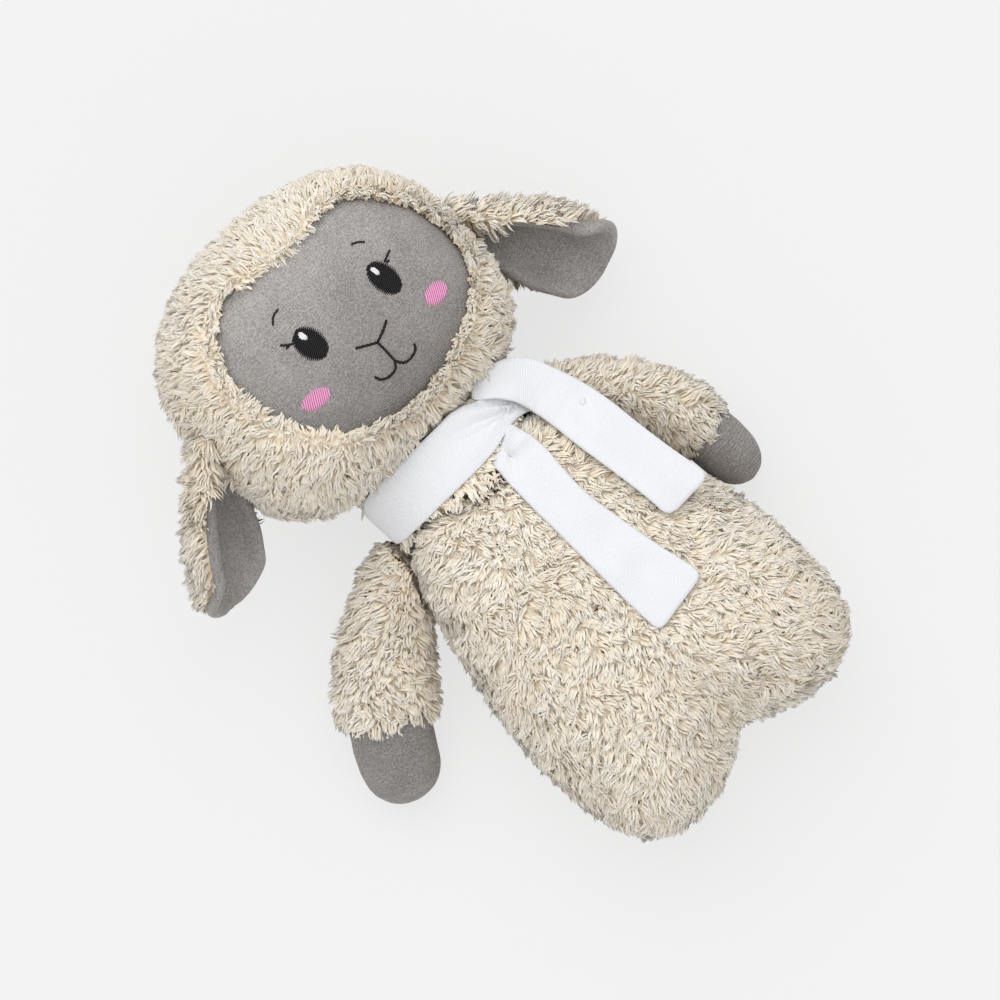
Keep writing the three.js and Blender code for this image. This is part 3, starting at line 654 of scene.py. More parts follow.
@dataclass(frozen=True)
class JerseyFinish:
    """White jersey with fine ribs, with painted shade in the valleys between them."""

    bright: Colour = srgb(241, 242, 245)
    rib_shade: Colour = srgb(226, 228, 235)
    rib_pitch: float = 1.05 * MM
    stitch_pitch: float = 0.7 * MM

    def material(self, mottle: bpy.types.NodeTree) -> bpy.types.Material:
        """The material, whose ribs run along the cloth's own map.

        Args:
            mottle: the shared mottle.

        Returns:
            The material.
        """
        graph = Graph("rib_jersey")
        place = graph.object_place()
        across, along = graph.map_place()
        mask = graph.mottle(mottle, place, patches=120.0, specks=2200.0, share=0.5)
        ribs = graph.wave(graph.math("MULTIPLY", along, 2 * math.pi / self.rib_pitch))
        stitch = graph.math("SINE", graph.math("MULTIPLY", across, 2 * math.pi / self.stitch_pitch))
        height = graph.math("ADD", ribs, graph.math("MULTIPLY", stitch, 0.12))
        # Painted shade: the rib valleys are darker.
        shade = graph.math("MULTIPLY", graph.math("SUBTRACT", 1.0, ribs), 0.45)
        colour = graph.mix(shade, self.bright, self.rib_shade)
        colour = graph.mix(graph.math("MULTIPLY", mask, 0.2), colour, self.rib_shade)
        graph.dress(Base_Color=colour, Roughness=0.8, Specular_IOR_Level=0.25)
        graph.dress(Sheen_Weight=0.15, Sheen_Roughness=0.5)
        graph.dress(Normal=graph.bump(height, 0.11 * MM))
        return graph.material


class Thread(Enum):
    """The embroidery threads, with the name of each one's material."""

    BLACK = "black_thread"
    WHITE = "white_thread"
    PINK = "pink_thread"


@dataclass(frozen=True)
class ThreadFinish:
    """Embroidery thread with a twist along each stitch, and painted shade on each thread's sides and
    underside.
    """

    thread: Thread
    colour: Colour
    # The dark of the twist, which also stands for the painted shade on each thread's sides.
    twist: Colour
    twist_pitch: float = 0.7 * MM

    def material(self) -> bpy.types.Material:
        """The thread's material, whose twist runs along its own map.

        Returns:
            The material.
        """
        graph = Graph(self.thread.value)
        around, along = graph.map_place()
        turned_by = graph.math("MULTIPLY", along, 2 * math.pi / self.twist_pitch)
        angle = graph.math("MULTIPLY", around, 2 * math.pi)
        ply = graph.wave(graph.math("ADD", turned_by, angle))
        # Painted shade: each thread is lighter on its crown and darker on its sides and underside.
        crown = graph.math("SINE", angle)
        lit = graph.math("MULTIPLY_ADD", crown, 0.6, graph.math("MULTIPLY", ply, 0.4), use_clamp=True)
        colour = graph.mix(lit, self.twist, self.colour)
        graph.dress(Base_Color=colour, Roughness=0.5, Specular_IOR_Level=0.35)
        graph.dress(Normal=graph.bump(ply, 0.06 * MM))
        return graph.material


@dataclass(frozen=True)
class StuffingFinish:
    """White loose fibre."""

    pale: Colour = srgb(250, 250, 246)
    shade: Colour = srgb(226, 226, 220)

    def material(self, mottle: bpy.types.NodeTree) -> bpy.types.Material:
        """The stuffing's material.

        Args:
            mottle: the shared mottle.

        Returns:
            The material.
        """
        graph = Graph("stuffing")
        place = graph.object_place()
        mask = graph.mottle(mottle, place, patches=90.0, specks=1300.0, share=0.6)
        graph.dress(Base_Color=graph.mix(mask, self.shade, self.pale), Roughness=1.0)
        graph.dress(Normal=graph.bump(graph.noise(place, 1.2 * MM, 4.0), 1.5 * MM))
        return graph.material


@dataclass
class Finishes:
    """Every finish of the toy, each made once."""

    pile: bpy.types.Material
    ground: bpy.types.Material
    velboa: bpy.types.Material
    jersey: bpy.types.Material
    stuffing: bpy.types.Material
    threads: dict[Thread, bpy.types.Material]

    @classmethod
    def made(cls) -> "Finishes":
        """Builds all the materials.

        Returns:
            The finishes.
        """
        mottle = mottle_group()
        fleece = FleeceFinish()
        threads = (
            ThreadFinish(Thread.BLACK, srgb(13, 12, 14), srgb(2, 2, 3)),
            ThreadFinish(Thread.WHITE, srgb(247, 247, 250), srgb(214, 214, 222)),
            ThreadFinish(Thread.PINK, srgb(250, 182, 220), srgb(222, 118, 178)),
        )
        return cls(
            pile=fleece.pile(),
            ground=fleece.ground(mottle),
            velboa=VelboaFinish().material(mottle),
            jersey=JerseyFinish().material(mottle),
            stuffing=StuffingFinish().material(mottle),
            threads={finish.thread: finish.material() for finish in threads},
        )


def dress(
    obj: bpy.types.Object,
    material: bpy.types.Material,
    solids: Sequence[str] = (),
    body: str | None = None,
) -> bpy.types.Object:
    """Gives a piece its material, hides the frame's solids that it stands for and fixes it to its body.

    Args:
        obj: the piece.
        material: its material.
        solids: the solids that it stands for.
        body: what it rides on, where it doesn't bend.

    Returns:
        The same piece.
    """
    obj.data.materials.clear()
    obj.data.materials.append(material)
    if solids:
        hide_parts(*solids)
    if body is not None:
        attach(obj, body)
    return obj


# ---- pile ----


@dataclass(frozen=True)
class Pile:
    """How a fleece's strands stand, in metres and radians."""

    spacing: float = 1.12 * MM
    length: float = 7.2 * MM
    width: float = 1.0 * MM
    root_lean: float = 0.72
    tip_lean: float = 1.4
    swirl: float = 1.5
    swirl_size: float = 17 * MM
    lock_spacing: float = 3.0 * MM
    lock_pull: float = 0.45
    lock_turn: float = 0.5
    curl: float = 0.5 * MM
    unevenness: float = 0.2


# Rings of a strand lie at these shares of its length, the last of them being its tip.
LEVELS = np.array([0.0, 0.42, 0.76, 1.0])
LEVEL_WIDTHS = np.array([1.45, 1.15, 0.75])
# How much a strand takes its shading from the ground under it rather than from its own round form.
SOFTNESS = 0.75
# How far a curl turns from root to tip, in radians.
CURL_TURN = 4.4
ROOT_DEPTH = 0.8 * MM
FLOOR_GAP = 0.6 * MM


@dataclass
class Surface:
    """A surface that carries pile: its triangles' corners and the smooth normals there."""

    corners: np.ndarray
    normals: np.ndarray

    @classmethod
    def of(cls, obj: bpy.types.Object) -> "Surface":
        """Reads the surface of an object.

        Args:
            obj: the ground.

        Returns:
            Its surface.
        """
        points, normals = vertex_arrays(obj)
        triangles = triangles_of(obj)
        return cls(points[triangles], normals[triangles])

    def scatter(self, spacing: float, rng: np.random.Generator) -> tuple[np.ndarray, np.ndarray]:
        """Even but irregular places.

        Args:
            spacing: the mean distance between neighbours.
            rng: the source of the draws.

        Returns:
            The places, and the unit normals there.
        """
        first, second, third = self.corners.transpose(1, 0, 2)
        areas = np.linalg.norm(np.cross(second - first, third - first), axis=1) / 2
        reach = np.cumsum(areas)
        count = int(reach[-1] / spacing**2)
        draws = (np.arange(count) + rng.random(count)) / count * reach[-1]
        chosen = np.searchsorted(reach, draws).clip(0, len(areas) - 1)
        shares = rng.random((count, 2))
        shares[shares.sum(1) > 1] = 1 - shares[shares.sum(1) > 1]
        weights = np.column_stack([1 - shares.sum(1), shares])[:, :, None]
        places = (self.corners[chosen] * weights).sum(1)
        return places, unit((self.normals[chosen] * weights).sum(1))


@dataclass
class Tuft:
    """Strands as arrays: the middle line, thickness and shade of each, and the ground's normal there."""

    lines: np.ndarray
    widths: np.ndarray
    shades: np.ndarray
    normals: np.ndarray

    def only(self, kept: np.ndarray) -> "Tuft":
        """Those strands that a mask keeps."""
        return Tuft(self.lines[kept], self.widths[kept], self.shades[kept], self.normals[kept])

    def piece(self, name: str, rng: np.random.Generator) -> bpy.types.Object:
        """Builds the strands as one mesh of three-sided tapering curls.

        Args:
            name: the piece's name.
            rng: the source of the draws.

        Returns:
            The new object, with a map that runs along each strand.
        """
        count, rings = len(self.lines), len(LEVEL_WIDTHS)
        along = unit(np.diff(self.lines, axis=1))
        along = np.concatenate([along[:, :1], unit(along[:, :-1] + along[:, 1:])], axis=1)
        helper = unit(rng.normal(size=(count, 1, 3)))
        across = unit(np.cross(along, helper))
        radii = (self.widths[:, None] * LEVEL_WIDTHS / 2)[:, :, None, None]
        offsets = section(across, np.cross(along, across), 3)
        loops = self.lines[:, :rings, None] + offsets * radii
        points = np.concatenate([loops.reshape(count, rings * 3, 3), self.lines[:, rings:]], axis=1)
        per_strand = rings * 3 + 1
        steps = [[0, 2, 1]]
        for ring in range(rings - 1):
            for corner in range(3):
                low, high = 3 * ring + corner, 3 * ring + (corner + 1) % 3
                steps += [[low, high, high + 3], [low, high + 3, low + 3]]
        last = 3 * (rings - 1)
        steps += [[last + corner, last + (corner + 1) % 3, per_strand - 1] for corner in range(3)]
        faces = np.array(steps)[None] + (np.arange(count) * per_strand)[:, None, None]
        made = mesh_object(name, points.reshape(-1, 3), faces.reshape(-1, 3))
        sideways = np.append(np.tile([-0.004, 0.0, 0.004], rings), 0.0)
        upward = np.append(np.repeat(LEVELS[:rings], 3), 1.0)
        places = np.empty((count, per_strand, 2))
        places[:, :, 0] = 0.02 + 0.95 * self.shades[:, None] + sideways
        places[:, :, 1] = 0.02 + 0.96 * upward
        face_map(made, STRAND_MAP, places.reshape(-1, 2).clip(0, 1))
        spokes = unit(np.concatenate([offsets.reshape(count, rings * 3, 3), along[:, -1:]], axis=1))
        softened = unit((1 - SOFTNESS) * spokes + SOFTNESS * self.normals[:, None])
        made.data.normals_split_custom_set_from_vertices(softened.reshape(-1, 3))
        return made


def headroom(roots: np.ndarray, ways: np.ndarray, length: np.ndarray, tree: BVHTree) -> np.ndarray:
    """How much of its length each strand has before it meets a neighbour.

    Args:
        roots: where the strands stand.
        ways: the unit way that each one goes.
        length: how long each one would be.
        tree: the neighbours' surfaces.

    Returns:
        The share of the length that is free, from 0 to 1.
    """
    free = np.ones(len(roots))
    for index, (root, way, reach) in enumerate(zip(roots, ways, length)):
        hit = tree.ray_cast(Vector(root), Vector(way), float(reach) * 1.15)
        if hit[0] is not None:
            free[index] = max(0.0, hit[3] - 0.4 * MM) / reach
    return free.clip(0, 1)


Comb = Callable[[np.ndarray], np.ndarray]


def grow(
    surface: Surface,
    pile: Pile,
    comb: Comb,
    rng: np.random.Generator,
    room: BVHTree | None = None,
    scale: Callable[[np.ndarray], np.ndarray] | None = None,
) -> Tuft:
    """Grows a combed, curly pile on a surface.

    Args:
        surface: the ground that it stands on.
        pile: how the strands stand.
        comb: gives the way that the strands lie at each place.
        rng: the source of the draws.
        room: neighbours that the strands stay under.
        scale: a share of the full length at each place.

    Returns:
        The strands.
    """
    roots, normals = surface.scatter(pile.spacing, rng)
    count = len(roots)
    ways = comb(roots)
    ways = unit(ways - (ways * normals).sum(1, keepdims=True) * normals)
    swirl = field_noise(roots, pile.swirl_size) * pile.swirl
    swirl = swirl + field_noise(roots, pile.swirl_size / 2.7, 31.7) * pile.swirl * 0.6
    lock_count = max(1, int(count * (pile.spacing / pile.lock_spacing) ** 2))
    locks = KDTree(lock_count)
    for index in rng.choice(count, size=lock_count, replace=False):
        locks.insert(Vector(roots[index]), int(index))
    locks.balance()
    lock = np.array([locks.find(Vector(root))[1] for root in roots])
    lock_draw, lock_phase = rng.normal(size=(count, 3)), rng.uniform(0, 2 * math.pi, count)
    turn = swirl + pile.lock_turn * lock_draw[lock, 0] + 0.22 * rng.normal(size=count)
    ways = turned(ways, normals, turn)
    uneven = 0.55 * lock_draw[lock, 1].clip(-1.6, 1.6) + 0.35 * rng.normal(size=count)
    length = pile.length * (1 + pile.unevenness * uneven.clip(-1.3, 1.3))
    if scale is not None:
        length = length * scale(roots)
    root_lean = (pile.root_lean + 0.16 * rng.normal(size=count)).clip(0.05, 1.2)
    tip_lean = (pile.tip_lean + 0.3 * lock_draw[lock, 2] + 0.2 * rng.normal(size=count)).clip(0.3, 1.62)
    if room is not None:
        middle = (root_lean + tip_lean) / 2
        aim = normals * np.cos(middle)[:, None] + ways * np.sin(middle)[:, None]
        above = 0.45 + 0.55 * headroom(roots, normals, length, room)
        free = np.minimum(headroom(roots, aim, length, room), above)
        pressed = 1 - free
        tip_lean = np.maximum(np.minimum(tip_lean + 0.35 * pressed, 1.45), tip_lean * (1 - pressed))
        root_lean = np.minimum(root_lean + 0.6 * pressed, 1.25)
        length = length * np.maximum(free, 0.5)
    swing = np.maximum(tip_lean - root_lean, 0.05)[:, None]
    lean = root_lean[:, None] + swing * LEVELS
    out = (np.sin(lean) - np.sin(root_lean)[:, None]) / swing
    over = (np.cos(root_lean)[:, None] - np.cos(lean)) / swing
    bent = out[:, :, None] * normals[:, None] + over[:, :, None] * ways[:, None]
    lines = roots[:, None] + length[:, None, None] * bent
    aside = np.cross(normals, ways)
    phase = (lock_phase[lock] + 0.6 * rng.normal(size=count))[:, None]
    swell = (pile.curl * length / pile.length)[:, None]
    curled = phase + CURL_TURN * LEVELS
    lines += ((np.sin(curled) - np.sin(phase)) * swell)[:, :, None] * aside[:, None]
    lines += ((np.cos(curled) - np.cos(phase)) * swell * 0.5)[:, :, None] * normals[:, None]
    totals = np.zeros((count, 4))
    np.add.at(totals, lock, np.column_stack([lines[:, -1], np.ones(count)]))
    target = totals[lock, :3] / np.maximum(totals[lock, 3:], 1)
    pull = pile.lock_pull * (length / pile.length).clip(0, 1)
    lines += (LEVELS**1.4)[None, :, None] * (pull[:, None, None] * (target - lines[:, -1])[:, None])
    shades = 0.35 + 0.16 * lock_draw[lock, 0] + 0.14 * rng.normal(size=count)
    shades = (shades + 0.25 * field_noise(roots, 28 * MM, 7.3)).clip(0, 1)
    widths = pile.width * (1 + 0.18 * rng.normal(size=count)).clip(0.6, 1.5)
    lines[:, 0] -= ROOT_DEPTH * normals
    lines[:, :, 2] = np.maximum(lines[:, :, 2], FLOOR_GAP)
    return Tuft(lines, widths, shades, normals)


def tree_of(solids: Sequence[str], built: Sequence[str] = ()) -> BVHTree:
    """The surfaces of some of the frame's solids and of some built pieces, to test against.

    Args:
        solids: names of the frame's solids.
        built: names of this scene's pieces.

    Returns:
        A tree of their faces.
    """
    points, faces = [], []
    for name in solids:
        solid, triangles = node_arrays(name)
        faces += (triangles + len(points)).tolist()
        points += solid.tolist()
    for name in built:
        obj = bpy.data.objects[name]
        first = len(points)
        faces += [[first + corner for corner in face.vertices] for face in obj.data.polygons]
        points += vertex_arrays(obj)[0].tolist()
    return BVHTree.FromPolygons(points, faces)


SCARF_CLOTHS = ("scarf_band_cloth", "scarf_left_strip", "scarf_right_strip")
HEAD_SOLIDS = ("head_hood", "head_back_panel")
TORSO_SOLIDS = ("torso_front_panel", "torso_back_panel")


@dataclass
class Sewn:
    """A form sewn from fleece, with its finishes and its source of draws."""

    finishes: Finishes
    rng: np.random.Generator

    def fleece(self, name: str, tuft: Tuft) -> bpy.types.Object:
        """Builds strands as one piece of pile.

        Args:
            name: the piece's name.
            tuft: the strands.

        Returns:
            The new object.
        """
        made = tuft.piece(name, self.rng)
        log.info("%s: %d strands", name, len(tuft.lines))
        return dress(made, self.finishes.pile)

    def halves(self, name: str, tuft: Tuft, across: np.ndarray, body: str) -> None:
        """Builds strands as a right and a left piece of pile.

        Args:
            name: the pieces' name, with a gap for the side.
            tuft: the strands.
            across: how far to the left each one stands.
            body: what both pieces ride on.
        """
        for side in Side:
            fleece = self.fleece(name.format(side.word), tuft.only(across * side.value >= 0))
            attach(fleece, body)


# ---- torso ----


@dataclass
class Torso(Sewn):
    """The body with its two leg lobes."""

    ground_depth: float = 2.7 * MM
    seam_height: float = 39.5 * MM
    waist: float = -8 * MM
    pile: Pile = Pile()

    def comb(self, places: np.ndarray) -> np.ndarray:
        """The pile lies towards the feet and out to both sides, and turns up to meet the neck.

        Args:
            places: where strands stand.

        Returns:
            The way that they lie at each place.
        """
        x, y = places[:, 0], places[:, 1]
        upward = 1.9 * smooth(y, 66 * MM, 76 * MM) * (1 - smooth(np.abs(x), 34 * MM, 46 * MM))
        ways = np.zeros_like(places)
        ways[:, 0] = x / (55 * MM)
        ways[:, 1] = -1.0 + 0.5 * smooth(y, 0.0, 80 * MM) + upward
        return ways

    def build(self) -> None:
        """Builds the ground cloth and the pile on it."""
        body = envelope("torso_ground", (*TORSO_SOLIDS, "torso_filling"), voxel=3.2 * MM, rounds=12)
        sink(body, self.ground_depth)
        dress(body, self.finishes.ground, TORSO_SOLIDS, body="torso")
        neighbours = tree_of(HEAD_SOLIDS, SCARF_CLOTHS)
        tuft = grow(Surface.of(body), self.pile, self.comb, self.rng, neighbours)
        across, up, height = tuft.lines[:, 0].T
        is_front, is_upper = height > self.seam_height, up > self.waist
        for word, facing in (("front", is_front), ("back", ~is_front)):
            for level, inside in (("chest", is_upper), ("lobe", ~is_upper)):
                kept = facing & inside
                name = f"torso_{word}_{{}}_{level}_fleece"
                self.halves(name, tuft.only(kept), across[kept], "torso")


# ---- head ----


@dataclass
class HeadFrame:
    """The head's own axes and its pillow form, in metres, and its opening for each degree of turn, in mm."""

    axes: np.ndarray = field(default_factory=lambda: HeadFrame.turn())
    origin: np.ndarray = field(default_factory=lambda: np.array([0, 165, 55.471]) * MM)
    half_width: float = 75 * MM
    top_height: float = 62 * MM
    chin_height: float = 61 * MM
    front_depth: float = 50 * MM
    panel_inset: float = 6 * MM
    panel_rise: float = 2.8 * MM
    panel_lift: float = 1.5 * MM
    opening: tuple[tuple[float, float], ...] = (
        (-174, 49.5), (-161, 48.1), (-148, 47.1), (-134, 45.8), (-118, 44.7), (-103, 43.5), (-88, 43.2),
        (-73, 44.0), (-59, 45.3), (-48, 47.9), (-38, 50.5), (-27, 54.0), (-18, 56.7), (-10, 58.3),
        (-2, 58.5), (7, 56.9), (17, 55.0), (28, 52.5), (39, 50.6), (50, 47.3), (61, 42.1),
        (70, 36.8), (81, 33.0), (98, 33.2), (115, 38.2), (123, 43.4), (128, 47.4), (138, 49.3),
        (146, 50.8), (153, 51.5), (164, 51.8), (174, 50.9),
    )

    @staticmethod
    def turn() -> np.ndarray:
        """The head's turn and tilt as a matrix whose columns are its axes.

        Returns:
            The matrix.
        """
        yaw, roll = math.radians(14), math.radians(-4.5)
        (yaw_sine, yaw_cosine), (roll_sine, roll_cosine) = ((math.sin(a), math.cos(a)) for a in (yaw, roll))
        about_y = np.array([[yaw_cosine, 0, yaw_sine], [0, 1, 0], [-yaw_sine, 0, yaw_cosine]])
        about_z = np.array([[roll_cosine, -roll_sine, 0], [roll_sine, roll_cosine, 0], [0, 0, 1]])
        return about_z @ about_y

    def local(self, places: np.ndarray) -> np.ndarray:
        """Places in the head's own frame."""
        return (places - self.origin) @ self.axes

    def world(self, places: np.ndarray) -> np.ndarray:
        """Places in the head's own frame, as places on the toy."""
        return places @ self.axes.T + self.origin

    @staticmethod
    def halved(x: np.ndarray, y: np.ndarray, half_width: float, upper: tuple, lower: tuple) -> np.ndarray:
        """How far out places lie, as a share of an outline whose halves have a height and a squareness.

        Args:
            x, y: places in the head's frame.
            half_width: the outline's half width.
            upper, lower: the height and the squareness of each half.

        Returns:
            A share for each place.
        """
        height = np.where(y >= 0, upper[0], lower[0])
        power = np.where(y >= 0, upper[1], lower[1])
        return ((np.abs(x) / half_width) ** power + (np.abs(y) / height) ** power) ** (1 / power)

    def face_share(self, x: np.ndarray, y: np.ndarray) -> np.ndarray:
        """How far out places lie, as a share of the face's opening.

        Args:
            x, y: places in the head's frame.

        Returns:
            A share for each place.
        """
        table = np.array(self.opening)
        edge = np.interp(np.degrees(np.arctan2(y, x)), table[:, 0], table[:, 1], period=360) * MM
        return np.hypot(x, y) / edge

    def panel_height(self, x: np.ndarray, y: np.ndarray) -> np.ndarray:
        """The face panel's height over the head's middle plane.

        Args:
            x, y: places in the head's frame.

        Returns:
            A height for each place.
        """
        outline = self.halved(x, y, self.half_width, (self.top_height, 2.3), (self.chin_height, 3.6))
        reach = np.hypot(x, y)
        radius = reach / np.maximum(outline, 1e-9)
        share = np.minimum(reach / np.maximum(radius - self.panel_inset, 1e-9), 0.999)
        rise = self.panel_lift + self.panel_rise * (1 - np.minimum(self.face_share(x, y), 1.0) ** 2)
        return (self.front_depth - self.panel_inset) * (1 - share**3.8) ** (1 / 2.5) + rise

    def on_face(self, x: np.ndarray, y: np.ndarray, lift: np.ndarray | float = 0.0) -> np.ndarray:
        """Places on the face panel, lifted off it along its normal.

        Args:
            x, y: places in the head's frame.
            lift: how far off the cloth.

        Returns:
            Places on the toy.
        """
        x, y = np.asarray(x, float), np.asarray(y, float)
        step = 0.4 * MM
        height = self.panel_height(x, y)
        slope_x = (self.panel_height(x + step, y) - self.panel_height(x - step, y)) / (2 * step)
        slope_y = (self.panel_height(x, y + step) - self.panel_height(x, y - step)) / (2 * step)
        normal = unit(np.stack([-slope_x, -slope_y, np.ones_like(slope_x)], axis=-1))
        lift = np.broadcast_to(np.asarray(lift, float), x.shape)
        return self.world(np.stack([x, y, height], axis=-1) + normal * lift[..., None])


@dataclass
class Head(Sewn):
    """The hood of fleece and the velboa face."""

    form: HeadFrame = field(default_factory=HeadFrame)
    ground_depth: float = 2.8 * MM
    pile: Pile = Pile(length=6.8 * MM, swirl=1.1, root_lean=0.5, tip_lean=1.25)

    def comb(self, places: np.ndarray) -> np.ndarray:
        """The pile lies over the opening's edge, outwards round it, and down the back of the head.

        Args:
            places: where strands stand.

        Returns:
            The way that they lie at each place.
        """
        local = self.form.local(places)
        share = self.form.face_share(local[:, 0], local[:, 1])
        outwards = 2 * smooth(share, 1.1, 1.24) - 1
        front = np.column_stack([unit(local[:, :2]) * outwards[:, None], -0.8 * smooth(share, 1.2, 1.4)])
        behind = smooth(-local[:, 2], -12 * MM, 12 * MM)[:, None]
        return (front * (1 - behind) + np.array([0.0, -1.0, -0.4]) * behind) @ self.form.axes.T

    def length_at(self, places: np.ndarray) -> np.ndarray:
        """The pile is trimmed round the face.

        Args:
            places: where strands stand.

        Returns:
            A share of the full length at each place.
        """
        local = self.form.local(places)
        share = self.form.face_share(local[:, 0], local[:, 1])
        chin = 1 + 0.35 * smooth(-local[:, 1], 42 * MM, 56 * MM)
        return np.where(local[:, 2] > 0, 0.76 + 0.24 * smooth(share, 1.04, 1.25), 1.0) * chin

    def build(self) -> None:
        """Builds the ground cloth, the pile and the face."""
        solids = (*HEAD_SOLIDS, "head_filling", "face_panel")
        body = envelope("head_ground", solids, voxel=3.2 * MM, rounds=10)
        sink(body, self.ground_depth)

        def outside_face(places: np.ndarray) -> np.ndarray:
            """Whether places lie outside the face's opening."""
            local = self.form.local(places)
            return (local[:, 2] < 10 * MM) | (self.form.face_share(local[:, 0], local[:, 1]) > 1.05)

        keep_where(body, outside_face)
        dress(body, self.finishes.ground, HEAD_SOLIDS, body="head")
        neighbours = tree_of(TORSO_SOLIDS)
        tuft = grow(Surface.of(body), self.pile, self.comb, self.rng, neighbours, self.length_at)
        local = self.form.local(tuft.lines[:, 0])
        for word, kept in (("hood", local[:, 2] > 0), ("back", local[:, 2] <= 0)):
            self.halves(f"head_{word}_{{}}_fleece", tuft.only(kept), local[kept, 0], "head")
        self.face()

    def face(self) -> None:
        """Builds the velboa panel, which runs on under the fleece."""
        turns = np.linspace(0, 2 * math.pi, 97)[:-1]
        shares = np.linspace(0, 1.16, 36)
        x, y = np.cos(turns) * 50 * MM, np.sin(turns) * 50 * MM
        edge = 1 / self.form.face_share(x, y)
        points = self.form.on_face(np.outer(shares, x * edge), np.outer(shares, y * edge)).reshape(-1, 3)
        made = mesh_object("face_velboa", points, grid_faces(len(shares), len(turns), closed=True))
        apply_modifier(made, "WELD", merge_threshold=0.01 * MM)
        local = self.form.local(vertex_arrays(made)[0])
        # The map's second axis runs up the face, so the velboa paints the face lighter towards its top and
        # darker towards its chin, as painted light and shade.
        face_map(made, CLOTH_MAP, local[:, :2])
        apply_modifier(made, "SOLIDIFY", thickness=1.2 * MM, offset=-1.0)
        dress(made, self.finishes.velboa, ["face_panel"], body="head")


# ---- embroidery ----


Path = tuple[tuple[float, float], ...]


@dataclass(frozen=True)
class Oval:
    """A satin stitched oval, in millimetres in the head's frame, turned by a tilt in radians."""

    centre: tuple[float, float]
    half: tuple[float, float]
    tilt: float


@dataclass(frozen=True)
class FaceSide:
    """What is stitched on one side of the face, in millimetres in the head's frame."""

    eye: Oval
    shine: Oval
    lashes: tuple[Path, ...]
    brow: Path
    cheek: Oval


FACE_SIDES = {
    Side.RIGHT: FaceSide(
        eye=Oval((-19.1, 1.3), (6.7, 8.5), 0.10),
        shine=Oval((-19.4, 5.8), (1.3, 2.3), 0.2),
        lashes=(((-24.6, 6.2), (-27.0, 7.6), (-29.2, 9.4)), ((-26.0, 6.9), (-28.4, 6.6))),
        brow=((-25.6, 17.6), (-22.6, 20.5), (-18.8, 21.4)),
        cheek=Oval((-33.0, -17.9), (6.7, 4.1), -0.1),
    ),
    Side.LEFT: FaceSide(
        eye=Oval((24.4, 0.9), (6.3, 8.7), 0.06),
        shine=Oval((23.2, 5.6), (1.2, 2.3), 0.2),
        lashes=(((29.2, 5.9), (32.0, 7.0), (35.0, 8.2)), ((29.6, 5.2), (31.8, 5.0))),
        brow=((23.6, 20.9), (26.6, 19.9), (29.3, 17.6)),
        cheek=Oval((37.4, -18.7), (6.2, 4.4), 0.25),
    ),
}
NOSE_AND_MOUTH = (
    ((-6.1, -13.0), (-2.4, -15.0), (2.9, -17.5)),
    ((12.7, -13.0), (7.8, -15.6), (2.9, -17.5)),
    ((2.9, -17.5), (3.4, -22.6), (3.6, -28.1)),
    ((3.6, -28.1), (1.6, -31.0), (-2.6, -31.6), (-6.2, -30.2), (-7.8, -27.4)),
    ((3.6, -28.1), (6.2, -31.4), (10.2, -31.9), (13.8, -30.6), (15.2, -28.2)),
)


